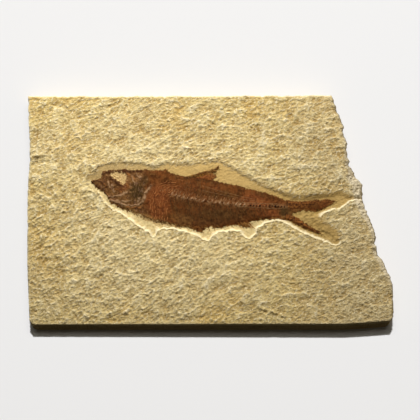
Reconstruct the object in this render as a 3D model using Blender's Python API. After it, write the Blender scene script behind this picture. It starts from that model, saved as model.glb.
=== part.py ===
"""Fossil fish slab.

A plate of laminated limestone lies on its flat underside. Its left, far and near
edges are sawn; its right edge is a natural break that steps down over three beds.
The upper face is pecked all over. A shallow recess in it lays bare a small
herring-like fish, whose flattened body, fins and bones stand in low relief.

Frame: +X along the plate from the head end to the tail end, +Y across the plate
towards the fish's back, +Z up. The origin is at the middle of the underside.
Lengths in the tables below are in millimetres.
"""
import math
import random

import bmesh
import bpy
import numpy as np
from mathutils import Matrix, Vector, noise

MM = 0.001

# ---------------------------------------------------------------- plate
PLATE_MID_HEIGHT = 9.0          # underside to the mean pecked face, at X = 0
PLATE_END_RISE = 0.6            # how much thicker the plate is at X = +73
PLATE_HALF_LENGTH = 73.0
LOWER_BED_TOP = 3.1             # heights of the two ledges on the broken edge
MIDDLE_BED_TOP = 5.9

# Sawn edges, from the far right corner round to the near right corner.
SAWN_EDGES = [
    (51.5, 48.2), (-73.3, 48.2), (-73.0, 39.5), (-72.0, 28.5), (-71.8, 19.5),
    (-72.2, 7.5), (-71.8, -9.5), (-71.2, -26.0), (-70.3, -38.5), (-69.8, -46.3),
    (-68.4, -48.2), (54.0, -48.2), (63.8, -47.6), (72.0, -46.9),
]
# The break, from the near right corner to the far right corner. Each point has
# the reach of the lowest bed there and how far the top bed lies back from it.
BREAK_LINE = [
    (73.2, -45.0, 0.3), (73.3, -40.5, 0.5), (73.0, -35.0, 0.8), (72.5, -30.0, 1.4),
    (71.3, -26.8, 1.8), (69.8, -22.8, 2.4), (68.0, -19.4, 2.2), (67.4, -16.0, 1.6),
    (67.3, -11.0, 1.9), (66.3, -7.6, 2.2), (65.0, -4.2, 2.6), (64.5, -0.8, 3.2),
    (63.3, 2.4, 3.6), (63.0, 6.0, 4.2), (62.3, 10.0, 4.6), (60.9, 13.0, 4.0),
    (59.0, 15.6, 2.6), (57.9, 18.0, 1.6), (57.3, 21.5, 1.2), (56.5, 24.6, 0.9),
    (57.0, 27.4, 0.9), (55.8, 30.6, 0.8), (55.4, 34.0, 0.8), (54.7, 38.2, 0.7),
    (53.6, 41.6, 0.6), (52.7, 44.6, 0.5), (52.0, 46.8, 0.4),
]
MIDDLE_BED_SHARE = 0.55         # share of that lay-back taken by the middle bed
LEDGE_JITTER = 0.35             # unevenness of the middle ledge's line

# ---------------------------------------------------------------- pecked face
PECK_CELL = 2.7                 # spacing of the relief's vertices
PECK_SIZE = 4.6                 # breadth of one chip
PECK_STRETCH = 1.7              # length of a chip over its breadth
PECK_LEAN = math.radians(32)    # direction in which the chips are drawn out
PECK_DEPTH = 0.75

# ---------------------------------------------------------------- recess
RECESS_DEPTH = 1.1
RECESS_OUTLINE = [
    (-48.2, 11.9), (-47.2, 13.9), (-44.6, 14.9), (-44.1, 17.1), (-40.8, 18.3),
    (-36.9, 19.1), (-31.9, 19.4), (-26.8, 19.2), (-21.4, 17.5), (-18.9, 18.5),
    (-15.3, 19.1), (-8.1, 18.7), (2.0, 20.0), (4.6, 19.9), (9.4, 16.9),
    (13.2, 14.1), (17.2, 12.1), (23.2, 8.4), (30.6, 5.9), (35.3, 4.4),
    (45.4, 5.4), (50.9, 6.2), (54.1, 7.0), (57.5, 5.6), (70.0, 4.3),
    (70.0, 3.6), (58.1, 3.0), (55.4, 1.0), (52.4, -0.8), (50.4, -0.8),
    (46.3, -2.9), (45.2, -4.3), (51.7, -8.9), (53.1, -12.4), (52.7, -15.1),
    (51.2, -15.8), (46.1, -13.9), (39.5, -11.2), (34.0, -8.1), (29.7, -5.9),
    (26.7, -5.6), (20.7, -8.1), (19.3, -10.9), (17.1, -13.1), (15.6, -12.6),
    (12.7, -10.1), (6.3, -9.9), (2.7, -11.6), (0.5, -13.7), (-1.4, -13.5),
    (-4.4, -11.5), (-8.7, -10.0), (-13.3, -8.9), (-18.6, -8.9), (-20.0, -9.6),
    (-21.1, -12.1), (-24.4, -9.6), (-28.0, -7.0), (-31.6, -4.0), (-35.1, -1.8),
    (-39.4, 0.5), (-42.0, 3.5), (-43.8, 6.5), (-47.1, 9.2),
]

# ---------------------------------------------------------------- fish
FISH_GAP = 0.3                  # clearance between the recess floor and the fish
FISH_EDGE = 0.3                 # thickness of the fish at its outline
FISH_CROWN = 0.45               # further rise towards the middle of the body
CROWN_RUN = 3.0                 # distance over which that rise builds up
FISH_CELL = 2.0                 # spacing of the body's relief
FISH_OUTLINE = [
    # snout, skull roof and nape
    (-46.7, 11.6), (-44.4, 12.1), (-42.6, 13.0), (-42.3, 15.4), (-40.6, 15.8),
    (-37.3, 16.2), (-32.4, 16.3), (-27.1, 16.0), (-24.0, 16.2), (-18.6, 15.8),
    (-16.4, 16.2), (-15.5, 15.2), (-12.7, 14.2), (-8.1, 13.1),
    # dorsal fin
    (-4.2, 14.2), (-1.7, 15.0), (2.7, 15.8), (4.6, 17.2), (3.8, 15.8),
    (2.7, 13.7), (3.1, 12.5), (2.4, 11.6),
    # back to the tail root
    (5.3, 10.8), (12.0, 9.4), (17.2, 7.8), (21.6, 6.8), (26.8, 5.1),
    (30.5, 3.6), (34.2, 2.8),
    # tail fin, upper lobe, fork and lower lobe
    (43.5, 3.1), (48.3, 3.3), (51.1, 2.9), (49.8, 1.2), (47.1, -0.2),
    (43.8, -1.6), (40.7, -1.4), (38.2, -1.2), (33.8, -3.0), (37.8, -5.4),
    (41.4, -8.1), (44.7, -9.9), (45.2, -11.0), (42.9, -10.4), (39.6, -8.9),
    (35.9, -7.0), (32.3, -5.4), (29.7, -4.8), (26.7, -4.7), (20.1, -5.3),
    # anal fin
    (16.3, -6.6), (17.6, -9.0), (15.6, -10.1), (13.0, -7.8), (11.9, -7.4),
    (7.9, -7.8), (3.8, -8.5), (-0.6, -8.3),
    # pelvic fin and belly keel
    (-1.4, -9.5), (-3.3, -10.0), (-5.1, -9.1), (-8.0, -8.3), (-13.3, -7.6),
    (-18.8, -5.9), (-22.2, -5.5), (-27.6, -2.9), (-33.7, -0.3), (-36.2, 0.6),
    # throat and lower jaw
    (-39.0, 3.0), (-40.4, 5.6), (-42.4, 7.1), (-45.6, 9.8), (-46.7, 11.2),
]
SPINE_START = (-14.2, 5.6)      # the backbone shows from behind the gill cover
SPINE_BEND = (4.6, 2.0)
SPINE_END = (32.5, 0.2)
VERTEBRA_PITCH = 1.55
VERTEBRA_SIZE = (0.55, 1.0, 0.5)
BONE_RADIUS = 0.26
FIN_RAY_RADIUS = 0.24
EYE_CENTRE = (-35.4, 12.3)
EYE_RADII = (3.1, 2.6, 0.75)
GILL_EDGE = [
    (-23.1, 9.0), (-24.7, 6.6), (-25.0, 5.0), (-26.2, 2.9), (-27.3, 1.6),
    (-29.3, 1.1), (-31.6, 0.9),
]
GILL_EDGE_RADIUS = 0.4

LIMESTONE_COLOUR = (0.62, 0.50, 0.27, 1.0)
FOSSIL_COLOUR = (0.13, 0.055, 0.022, 1.0)


# ================================================================ helpers
def clear_scene():
    for obj in list(bpy.data.objects):
        bpy.data.objects.remove(obj, do_unlink=True)


def new_collection(name):
    collection = bpy.data.collections.new(name)
    bpy.context.scene.collection.children.link(collection)
    return collection


def principled(name, colour, roughness):
    material = bpy.data.materials.new(name)
    material.use_nodes = True
    shader = material.node_tree.nodes["Principled BSDF"]
    shader.inputs["Base Color"].default_value = colour
    shader.inputs["Roughness"].default_value = roughness
    shader.inputs["Metallic"].default_value = 0.0
    return material


def object_from_bmesh(name, bm, collection):
    bmesh.ops.recalc_face_normals(bm, faces=bm.faces)
    mesh = bpy.data.meshes.new(name)
    bm.to_mesh(mesh)
    bm.free()
    obj = bpy.data.objects.new(name, mesh)
    collection.objects.link(obj)
    return obj


def outline_prism(name, outline, low, high, collection):
    """A closed prism over a flat outline, between two heights, in millimetres."""
    curve = bpy.data.curves.new(name + "_outline", "CURVE")
    curve.dimensions = "2D"
    curve.fill_mode = "BOTH"
    curve.extrude = 0.5 * (high - low) * MM
    spline = curve.splines.new("POLY")
    spline.points.add(len(outline) - 1)
    for point, (x, y) in zip(spline.points, outline):
        point.co = (x * MM, y * MM, 0.0, 1.0)
    spline.use_cyclic_u = True
    guide = bpy.data.objects.new(name + "_outline", curve)
    guide.location = (0.0, 0.0, 0.5 * (low + high) * MM)
    collection.objects.link(guide)
    bpy.context.view_layer.update()

    evaluated = guide.evaluated_get(bpy.context.evaluated_depsgraph_get())
    mesh = bpy.data.meshes.new_from_object(evaluated)
    bm = bmesh.new()
    bm.from_mesh(mesh)
    bmesh.ops.remove_doubles(bm, verts=bm.verts, dist=0.000001)
    bmesh.ops.recalc_face_normals(bm, faces=bm.faces)
    bm.to_mesh(mesh)
    bm.free()
    mesh.name = name
    prism = bpy.data.objects.new(name, mesh)
    prism.matrix_world = guide.matrix_world.copy()
    collection.objects.link(prism)
    bpy.data.objects.remove(guide, do_unlink=True)
    return prism


def relief_block(name, x_range, y_range, cell, height, low, collection):
    """A block whose upper face is a grid lifted to height(x, y), in millimetres."""
    columns = round((x_range[1] - x_range[0]) / cell)
    rows = round((y_range[1] - y_range[0]) / cell)
    middle = Vector((sum(x_range) / 2, sum(y_range) / 2, 0.0)) * MM
    half_size = Vector((x_range[1] - x_range[0], y_range[1] - y_range[0], 0.0)) * MM / 2
    bm = bmesh.new()
    bmesh.ops.create_grid(bm, x_segments=columns, y_segments=rows, size=1.0)
    for vert in bm.verts:
        x = middle.x + vert.co.x * half_size.x
        y = middle.y + vert.co.y * half_size.y
        vert.co = (x, y, height(x / MM, y / MM) * MM)
    rim = [edge for edge in bm.edges if edge.is_boundary]
    walls = bmesh.ops.extrude_edge_only(bm, edges=rim)["geom"]
    for item in walls:
        if isinstance(item, bmesh.types.BMVert):
            item.co.z = low * MM
    bmesh.ops.holes_fill(bm, edges=[edge for edge in bm.edges if edge.is_boundary])
    return object_from_bmesh(name, bm, collection)


def as_cutter(obj):
    obj.hide_render = True
    obj.display_type = "WIRE"
    return obj


def boolean(target, operand, operation, self_meet=False):
    modifier = target.modifiers.new(operand.name, "BOOLEAN")
    modifier.operation = operation
    modifier.object = operand
    modifier.solver = "EXACT"
    modifier.use_self = self_meet


def outline_distance(x, y, outline):
    """Distance from a point to the nearest edge of an outline."""
    start = np.array(outline)
    run = np.roll(start, -1, axis=0) - start
    offset = np.array((x, y)) - start
    share = np.clip((offset * run).sum(axis=1) / (run * run).sum(axis=1), 0.0, 1.0)
    return float(np.linalg.norm(offset - run * share[:, None], axis=1).min())


# ================================================================ plate
def pecked_height(x, y):
    """Relief of the pecked face: leaning scoops that meet in sharp ridges."""
    along = x * math.cos(PECK_LEAN) + y * math.sin(PECK_LEAN)
    across = y * math.cos(PECK_LEAN) - x * math.sin(PECK_LEAN)
    place = Vector((along / (PECK_SIZE * PECK_STRETCH), across / PECK_SIZE, 3.7))
    scoop = noise.voronoi(place)[0][0] - 0.45
    return PECK_DEPTH * scoop + 0.2 * noise.noise(place * 0.6)


def break_outline(lay_back_share, jitter):
    """The broken edge's line for one bed, as points from near to far."""
    generator = random.Random(11)
    line = []
    for x, y, lay_back in BREAK_LINE:
        shift = generator.uniform(-jitter, jitter)
        line.append((x - lay_back * lay_back_share + shift, y))
    return line


def ledge_cutter(name, line, low, collection):
    """Clears the beds above one height outside a broken line."""
    start_x = line[0][0]
    end_x = line[-1][0]
    outline = [(start_x - 0.6, -60.0)] + line + [(end_x - 1.0, 60.0), (90.0, 60.0), (90.0, -60.0)]
    return as_cutter(outline_prism(name, outline, low, 20.0, collection))


def build_plate(parts, cutters, bedding):
    plate = outline_prism(
        "limestone_slab", SAWN_EDGES + break_outline(0.0, 0.0), 0.0, 12.0, parts
    )
    middle_line = break_outline(MIDDLE_BED_SHARE, LEDGE_JITTER)
    top_line = break_outline(1.0, 0.0)
    boolean(plate, ledge_cutter("middle_ledge", middle_line, LOWER_BED_TOP, cutters), "DIFFERENCE")
    boolean(plate, ledge_cutter("top_ledge", top_line, MIDDLE_BED_TOP, cutters), "DIFFERENCE")

    face = relief_block(
        "pecked_face", (-80.0, 80.0), (-54.0, 54.0), PECK_CELL, pecked_height, -15.0, cutters
    )
    face.parent = bedding
    boolean(plate, as_cutter(face), "INTERSECT")

    recess = outline_prism("fish_recess", RECESS_OUTLINE, -RECESS_DEPTH, 6.0, cutters)
    recess.parent = bedding
    boolean(plate, as_cutter(recess), "DIFFERENCE")
    plate.data.materials.append(principled("limestone", LIMESTONE_COLOUR, 0.9))
    return plate


# ================================================================ fish
def fish_height(x, y):
    """Upper surface of the flattened fish above its own underside."""
    inset = outline_distance(x, y, FISH_OUTLINE)
    return FISH_EDGE + FISH_CROWN * (1.0 - math.exp(-inset / CROWN_RUN))


def add_rod(bm, start, end, radius, tip_radius):
    """A five-sided bone half sunk in the fish's surface, between two plan points."""
    foot = Vector((*start, fish_height(*start))) * MM
    tip = Vector((*end, fish_height(*end))) * MM
    turn = (tip - foot).to_track_quat("Z", "Y").to_matrix().to_4x4()
    bmesh.ops.create_cone(
        bm,
        cap_ends=True,
        segments=5,
        radius1=radius * MM,
        radius2=tip_radius * MM,
        depth=(tip - foot).length,
        matrix=Matrix.Translation((foot + tip) / 2) @ turn,
    )


def spine_point(x):
    """Height across the plate of the backbone's line at a place along it."""
    first, second = (SPINE_START, SPINE_BEND) if x < SPINE_BEND[0] else (SPINE_BEND, SPINE_END)
    share = (x - first[0]) / (second[0] - first[0])
    return x, first[1] + (second[1] - first[1]) * share


def add_backbone(bm):
    count = int((SPINE_END[0] - SPINE_START[0]) / VERTEBRA_PITCH)
    for index in range(count + 1):
        x, y = spine_point(SPINE_START[0] + index * VERTEBRA_PITCH)
        centre = Vector((x, y, fish_height(x, y))) * MM
        size = Vector(VERTEBRA_SIZE) * MM
        shape = Matrix.LocRotScale(centre, Matrix.Rotation(math.radians(-20), 3, "Z"), size)
        bmesh.ops.create_icosphere(bm, subdivisions=1, radius=1.0, matrix=shape)


def add_ribs(bm):
    """Ribs sweep down and back to the belly, spines up and back from each vertebra."""
    for index in range(11):
        x, y = spine_point(-12.0 + index * 2.1)
        add_rod(bm, (x, y - 0.4), (x + 2.6, y - 8.0 + 0.12 * index), BONE_RADIUS, 0.14)
    for index in range(17):
        x, y = spine_point(-12.5 + index * 2.5)
        rise = 5.6 - 0.22 * index
        add_rod(bm, (x, y + 0.4), (x + 0.75 * rise, y + rise), BONE_RADIUS, 0.14)
    for index in range(6):
        x, y = spine_point(14.0 + index * 2.4)
        add_rod(bm, (x, y - 0.4), (x + 2.6, y - 3.4 + 0.12 * index), BONE_RADIUS, 0.14)


def add_fin_rays(bm):
    for index in range(8):
        share = index / 7
        base = (-7.4 + 9.0 * share, 12.3 - 1.1 * share)
        tip = (-5.2 + 8.6 * share, 13.4 + 2.4 * share)
        add_rod(bm, base, tip, FIN_RAY_RADIUS, 0.14)
    for index in range(7):
        share = index / 6
        upper_tip = (49.2 - 9.5 * share, 2.6 - 3.2 * share)
        lower_tip = (43.9 - 6.6 * share, -9.9 + 4.0 * share)
        add_rod(bm, (33.4, 1.9 - 2.1 * share), upper_tip, FIN_RAY_RADIUS, 0.14)
        add_rod(bm, (32.6, -4.2 + 1.4 * share), lower_tip, FIN_RAY_RADIUS, 0.14)
    for index in range(3):
        add_rod(bm, (13.2 + index, -6.2), (15.0 + 0.9 * index, -9.2 + 0.4 * index), 0.22, 0.14)
        add_rod(bm, (-5.0 + 1.2 * index, -7.2), (-4.2 + 1.1 * index, -9.2), 0.22, 0.14)


def add_head(bm):
    """Gill cover's rear edge, cheek bones and jaws."""
    for start, end in zip(GILL_EDGE, GILL_EDGE[1:]):
        add_rod(bm, start, end, GILL_EDGE_RADIUS, GILL_EDGE_RADIUS)
    add_rod(bm, (-45.6, 11.2), (-40.2, 9.4), 0.4, 0.3)
    add_rod(bm, (-40.6, 9.6), (-37.2, 4.6), 0.4, 0.25)
    add_rod(bm, (-44.6, 9.9), (-38.4, 4.2), 0.35, 0.3)
    add_rod(bm, (-38.2, 5.4), (-31.8, 6.3), 0.35, 0.3)
    add_rod(bm, (-32.1, 6.0), (-30.6, 12.4), 0.35, 0.25)
    add_rod(bm, (-37.0, 3.9), (-32.6, 2.6), 0.35, 0.25)
    add_rod(bm, (-30.6, 12.6), (-23.6, 9.4), 0.35, 0.25)
    add_rod(bm, (-40.4, 14.9), (-27.0, 15.0), 0.4, 0.3)


def build_fish(parts, cutters, bedding):
    xs = [x for x, y in FISH_OUTLINE]
    ys = [y for x, y in FISH_OUTLINE]
    fish = relief_block(
        "fossil_fish", (min(xs) - 1, max(xs) + 1), (min(ys) - 1, max(ys) + 1),
        FISH_CELL, fish_height, 0.0, parts
    )
    outline = outline_prism("fish_outline", FISH_OUTLINE, -1.0, 4.0, cutters)
    boolean(fish, as_cutter(outline), "INTERSECT")

    bm = bmesh.new()
    add_backbone(bm)
    add_ribs(bm)
    add_fin_rays(bm)
    add_head(bm)
    bones = as_cutter(object_from_bmesh("fish_bones", bm, cutters))
    boolean(fish, bones, "UNION", self_meet=True)

    eye = bmesh.new()
    socket = Vector((*EYE_CENTRE, fish_height(*EYE_CENTRE) + 0.15)) * MM
    shape = Matrix.LocRotScale(socket, None, Vector(EYE_RADII) * MM)
    bmesh.ops.create_uvsphere(eye, u_segments=16, v_segments=8, radius=1.0, matrix=shape)
    boolean(fish, as_cutter(object_from_bmesh("eye_socket", eye, cutters)), "DIFFERENCE")

    floor = (FISH_GAP - RECESS_DEPTH) * MM
    for piece in (fish, *(cutters.objects[name] for name in ("fish_outline", "fish_bones", "eye_socket"))):
        piece.parent = bedding
        piece.location.z += floor
    fish.data.materials.append(principled("fossil_bone", FOSSIL_COLOUR, 0.6))
    return fish


def main():
    clear_scene()
    parts = new_collection("fossil_fish_slab")
    cutters = new_collection("cutters")
    bedding = bpy.data.objects.new("bedding_plane", None)
    bedding.location = (0.0, 0.0, PLATE_MID_HEIGHT * MM)
    bedding.rotation_euler.y = -math.atan(PLATE_END_RISE / PLATE_HALF_LENGTH)
    parts.objects.link(bedding)
    build_plate(parts, cutters, bedding)
    build_fish(parts, cutters, bedding)


main()
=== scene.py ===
"""Looks of the fossil fish slab: pecked limestone plate and the fish bonded in its recess.

Lengths in the outlines and sizes below are in millimetres, in the plate's own frame:
+X from head to tail, +Y towards the fish's back, +Z up from the flat underside.
"""

import math
import random
from functools import partial

import bmesh
import bpy
import numpy as np
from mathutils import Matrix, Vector, geometry, noise


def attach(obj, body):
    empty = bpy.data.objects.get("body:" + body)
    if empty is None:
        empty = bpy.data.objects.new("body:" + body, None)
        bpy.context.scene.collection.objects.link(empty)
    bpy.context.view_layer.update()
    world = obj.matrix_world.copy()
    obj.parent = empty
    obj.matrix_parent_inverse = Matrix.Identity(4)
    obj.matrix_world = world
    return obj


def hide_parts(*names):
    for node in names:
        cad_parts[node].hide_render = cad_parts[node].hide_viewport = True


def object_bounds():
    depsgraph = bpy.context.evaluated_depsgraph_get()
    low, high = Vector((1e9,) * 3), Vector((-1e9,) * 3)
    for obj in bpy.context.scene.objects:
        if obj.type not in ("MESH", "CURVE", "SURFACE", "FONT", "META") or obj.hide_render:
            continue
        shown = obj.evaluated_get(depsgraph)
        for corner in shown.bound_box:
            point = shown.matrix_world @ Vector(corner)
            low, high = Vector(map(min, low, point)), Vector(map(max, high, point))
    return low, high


MM = 0.001
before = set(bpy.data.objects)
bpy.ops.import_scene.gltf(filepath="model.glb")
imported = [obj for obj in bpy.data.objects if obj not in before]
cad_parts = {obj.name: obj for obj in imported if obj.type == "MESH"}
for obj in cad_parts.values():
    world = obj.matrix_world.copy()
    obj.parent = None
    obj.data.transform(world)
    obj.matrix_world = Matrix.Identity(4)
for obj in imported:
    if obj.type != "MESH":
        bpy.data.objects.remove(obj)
cad_low, cad_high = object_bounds()

# ================================================================ sizes
PLATE_MID_HEIGHT = 8.9          # underside to the mean pecked face, at X = 0
PLATE_END_RISE = 0.6            # extra thickness at X = +73
PLATE_HALF_LENGTH = 73.0
STONE_PITCH = 0.46              # spacing of the stone mesh on the face
UNDERSIDE_PITCH = 2.2
RIM_CONTOURS = [                # distance inside the recess's rim, and the spacing of the points there
    (-0.3, 0.36), (-0.05, 0.3), (0.2, 0.3), (0.45, 0.3), (0.75, 0.36),
]
SIDE_LEVELS = [                 # rings of points on the plate's sides, as shares of its thickness
    0.95, 0.88, 0.80, 0.72, 0.65, 0.57, 0.50, 0.42, 0.345, 0.27, 0.19, 0.11, 0.04, 0.0,
]
LEVELS_IN_A_BED = 2
UNDERSIDE_INSET = 0.3           # how far the rounded lower edge lies back
LAMINA_STEP = 0.55              # height of the ledges that step down to the break

SAWN_EDGES = [
    (50.9, 48.2), (-73.3, 48.2), (-73.0, 39.5), (-72.0, 28.5), (-71.8, 19.5),
    (-72.2, 7.5), (-71.8, -9.5), (-71.2, -26.0), (-70.3, -38.5), (-69.8, -46.3),
    (-68.4, -48.2), (54.0, -48.2), (63.8, -47.6), (72.0, -46.9),
]
BREAK_LINE = [                  # x, y and how far the top bed lies back
    (73.2, -45.0, 0.3), (73.3, -40.5, 0.5), (73.0, -35.0, 0.8), (72.5, -30.0, 1.4),
    (71.3, -26.8, 1.8), (69.8, -22.8, 2.4), (68.0, -19.4, 2.2), (67.4, -16.0, 1.6),
    (67.3, -11.0, 1.9), (66.3, -7.6, 2.2), (65.0, -4.2, 2.6), (64.5, -0.8, 3.2),
    (63.3, 2.4, 3.6), (63.0, 6.0, 4.2), (62.3, 10.0, 4.6), (60.9, 13.0, 4.0),
    (59.0, 15.6, 2.6), (57.9, 18.0, 1.6), (57.3, 21.5, 1.2), (56.5, 24.6, 0.9),
    (57.0, 27.4, 0.9), (55.8, 30.6, 0.8), (55.4, 34.0, 0.8), (54.7, 38.2, 0.7),
    (53.6, 41.6, 0.6), (52.7, 44.6, 0.5), (52.0, 46.8, 0.4),
]

RECESS_BACK_DEPTH = [           # x and the depth of the recess along the fish's back
    (-50.0, 0.24), (-38.0, 0.26), (-20.0, 0.22), (-8.0, 0.25), (12.0, 0.25),
    (24.0, 0.36), (38.0, 0.80), (56.0, 0.66), (66.0, 0.24), (72.0, 0.10),
]
RECESS_BELLY_DEPTH = [          # x and its depth below the belly
    (-50.0, 0.15), (-43.0, 0.25), (-37.0, 0.55), (-30.0, 0.75), (-20.0, 0.85),
    (10.0, 0.80), (30.0, 0.80), (44.0, 0.75), (51.0, 0.42), (58.0, 0.48), (72.0, 0.12),
]
RECESS_WALL = [                 # x and the breadth of the wall above the back
    (-48.0, 0.8), (14.0, 0.8), (28.0, 1.4), (40.0, 2.3), (60.0, 2.0),
]
RECESS_BEVEL = [                # x and the breadth of the bevel below the belly
    (-48.0, 0.8), (-36.0, 0.9), (-24.0, 1.2), (9.0, 1.1), (20.0, 1.0), (28.0, 1.8), (46.0, 1.3), (51.0, 0.6),
]
BEVEL_LIP = 0.3                 # share of the depth cut sharply at the bevel's edge
ARRIS_DROP = 0.35               # wear along the plate's edges
ARRIS_WEAR = 0.9
RECESS_OUTLINE = [
    (-48.4, 12.0), (-47.6, 14.2), (-45.1, 15.2), (-44.6, 17.4), (-41.2, 18.7),
    (-36.9, 19.1), (-31.9, 19.4), (-26.8, 19.2), (-21.4, 17.5), (-18.9, 18.5),
    (-15.3, 19.1), (-8.1, 18.7), (2.0, 20.0), (4.7, 20.1), (9.6, 17.4),
    (13.6, 14.7), (17.6, 12.7), (23.6, 9.1), (30.8, 6.6), (35.5, 5.1),
    (45.3, 6.0), (50.9, 6.8), (54.1, 7.4), (57.5, 5.6), (70.0, 4.3),
    (70.0, 3.6), (58.1, 3.0), (55.4, 1.0), (52.4, -0.8), (50.4, -0.8),
    (46.3, -2.9), (45.2, -4.3), (51.7, -8.9), (53.1, -12.4), (52.7, -15.1),
    (51.2, -15.8), (46.1, -13.9), (39.5, -11.2), (34.0, -8.1), (29.7, -5.9),
    (26.7, -5.6), (20.7, -8.1), (19.3, -10.9), (17.1, -13.1), (15.6, -12.6),
    (12.7, -10.1), (6.3, -9.9), (2.7, -11.6), (0.5, -13.7), (-1.4, -13.5),
    (-4.4, -11.5), (-8.7, -10.0), (-13.3, -8.9), (-18.6, -8.9), (-20.0, -9.6),
    (-21.1, -12.1), (-24.4, -9.6), (-28.0, -7.0), (-31.6, -4.0), (-35.1, -1.8),
    (-39.4, 0.5), (-42.0, 3.5), (-43.8, 6.5), (-47.1, 9.2),
]

FISH_PITCH = 0.17               # spacing of the fish's mesh
FISH_EDGE = 0.07                # the film's thickness at its outline
FISH_BODY = 0.22                # rise just inside the outline
FISH_CROWN = 0.34               # further rise towards the middle of the body
FISH_OUTLINE = [
    # snout, skull roof and nape
    (-46.7, 11.6), (-44.4, 12.1), (-42.6, 13.0), (-42.3, 15.4), (-40.6, 15.8),
    (-37.3, 16.2), (-32.4, 16.3), (-27.1, 16.0), (-24.0, 16.2), (-18.6, 15.8),
    (-16.4, 16.2), (-15.5, 15.2), (-12.7, 14.2), (-8.1, 13.1),
    # dorsal fin
    (-4.2, 14.3), (-1.7, 15.1), (1.6, 15.9), (3.4, 16.8), (4.8, 17.5), (4.6, 16.7),
    (3.7, 15.4), (2.6, 14.2), (3.2, 13.7), (3.7, 12.9), (3.2, 12.2), (2.3, 11.6),
    # back to the tail root
    (5.3, 10.8), (12.0, 9.4), (17.2, 7.8), (21.6, 6.8), (26.8, 5.1),
    (30.5, 3.6), (34.2, 2.8),
    # tail fin, upper lobe, fork and lower lobe
    (43.5, 3.1), (48.3, 3.3), (51.1, 2.9), (49.8, 1.2), (47.1, -0.2),
    (43.8, -1.6), (40.7, -1.4), (38.2, -1.2), (33.8, -3.0), (37.8, -5.4),
    (41.4, -8.1), (44.7, -9.9), (45.2, -11.0), (42.9, -10.4), (39.6, -8.9),
    (35.9, -7.0), (32.3, -5.4), (29.7, -4.8), (26.7, -4.7), (20.1, -5.3),
    # anal fin
    (16.6, -6.3), (16.9, -7.5), (15.6, -8.2), (13.6, -7.6), (11.9, -7.3),
    (7.9, -7.8), (3.8, -8.5), (-0.6, -8.3),
    # pelvic fin and belly keel
    (-1.4, -9.5), (-3.3, -10.0), (-5.1, -9.1), (-8.0, -8.3), (-13.3, -7.6),
    (-18.8, -5.9), (-22.2, -5.5), (-27.6, -2.9), (-33.7, -0.3), (-36.2, 0.6),
    # throat and lower jaw
    (-39.0, 3.0), (-40.4, 5.6), (-42.4, 7.1), (-45.6, 9.8), (-46.7, 11.2),
]
ORBIT = [
    (-38.8, 14.4), (-37.8, 15.1), (-35.3, 15.1), (-33.2, 14.7), (-32.5, 13.4),
    (-32.7, 11.2), (-33.9, 9.9), (-35.2, 10.9), (-37.0, 12.0), (-38.1, 12.9),
]
FISH_AXIS = [(-46.0, 10.5), (-20.0, 6.0), (0.0, 2.5), (30.0, -0.5), (50.0, -3.0)]
BACKBONE = [(-14.2, 5.6), (-9.6, 4.2), (-3.4, 3.1), (4.6, 2.0), (14.9, 0.9), (28.6, 0.4), (33.0, 0.1)]
FRONT_VERTEBRAE = BACKBONE[:5]
REAR_VERTEBRAE = [(17.4, 0.7), (28.6, 0.4), (31.0, 0.2)]
VERTEBRA_PITCH = 1.6
REAR_PITCH = 1.2
KEEL = [(-33.7, -0.2), (-27.6, -2.8), (-22.2, -5.3), (-18.8, -5.8), (-13.3, -7.4), (-6.0, -8.4)]
SHOULDER = (-13.0, 2.4)         # the rows of scales bow round it
GILL_EDGE = -23.6               # x of the gill cover's rear edge
DORSAL_TIPS = [                 # ends of the dorsal fin's rods and rays, front to rear
    (4.4, 17.4), (3.7, 15.9), (3.0, 14.7), (2.3, 14.0), (3.2, 13.5), (3.2, 12.9), (2.7, 12.0),
]

RIBS, FIRST_RIB, RIB_PITCH = 33, -15.0, 1.2             # how many, x of the first, spacing
SPINES, FIRST_SPINE = 25, -13.5
SCALE_ROWS, FIRST_ROW_RADIUS, ROW_PITCH = 8, 3.0, 0.95
DORSAL_RAYS, DORSAL_RODS = 13, 5                        # all of them, and the stout ones in front
TAIL_RAYS = 12                                          # in each lobe
ANAL_RAYS, FIRST_ANAL_RAY, ANAL_PITCH = 16, 12.0, 0.36
PELVIC_RAYS = 8
SCUTES, FIRST_SCUTE, SCUTE_PITCH = 30, -34.0, 0.95
THROAT_HAIRS, FIRST_HAIR, HAIR_PITCH = 30, -31.0, 0.6
SPLINTS, FIRST_SPLINT, SPLINT_PITCH = 30, -19.0, 1.15

# The studio, in metres.
PLATE_MIDDLE = Vector((0.0, 0.0, 0.009))
FLOOR_HALF_WIDTH = 3.0
CAMERA_TARGET = Vector((0.00115, -0.0011, 0.009))
CAMERA_ELEVATION = math.radians(72)
CAMERA_DISTANCE = 0.7
CAMERA_LENS = 150               # millimetres
CAMERA_SENSOR = 36


# ================================================================ small tools
def linear(code):
    """An sRGB hex colour as linear RGBA."""
    parts = [int(code[i:i + 2], 16) / 255 for i in (1, 3, 5)]
    return tuple(c / 12.92 if c <= 0.04045 else ((c + 0.055) / 1.055) ** 2.4 for c in parts) + (1.0,)


def feed(tree, made, inputs):
    """Sets a node's inputs. A socket is linked, and so is a node, by its first output in use."""
    usable = [socket for socket in made.inputs if socket.enabled]
    for key, value in inputs.items():
        socket = made.inputs[key] if isinstance(key, int) else next(s for s in usable if s.name == key)
        if isinstance(value, bpy.types.Node):
            value = next(output for output in value.outputs if output.enabled)
        if isinstance(value, bpy.types.NodeSocket):
            tree.links.new(value, socket)
        else:
            socket.default_value = value


def add(tree, kind, inputs=None, **settings):
    """One node with its settings, values and links."""
    made = tree.nodes.new(kind)
    for name, value in settings.items():
        setattr(made, name, value)
    feed(tree, made, inputs or {})
    return made


def ease(value, low, high):
    """Smooth step from 0 at low to 1 at high."""
    share = np.clip((np.asarray(value, float) - low) / (high - low), 0.0, 1.0)
    return share * share * (3.0 - 2.0 * share)


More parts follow.
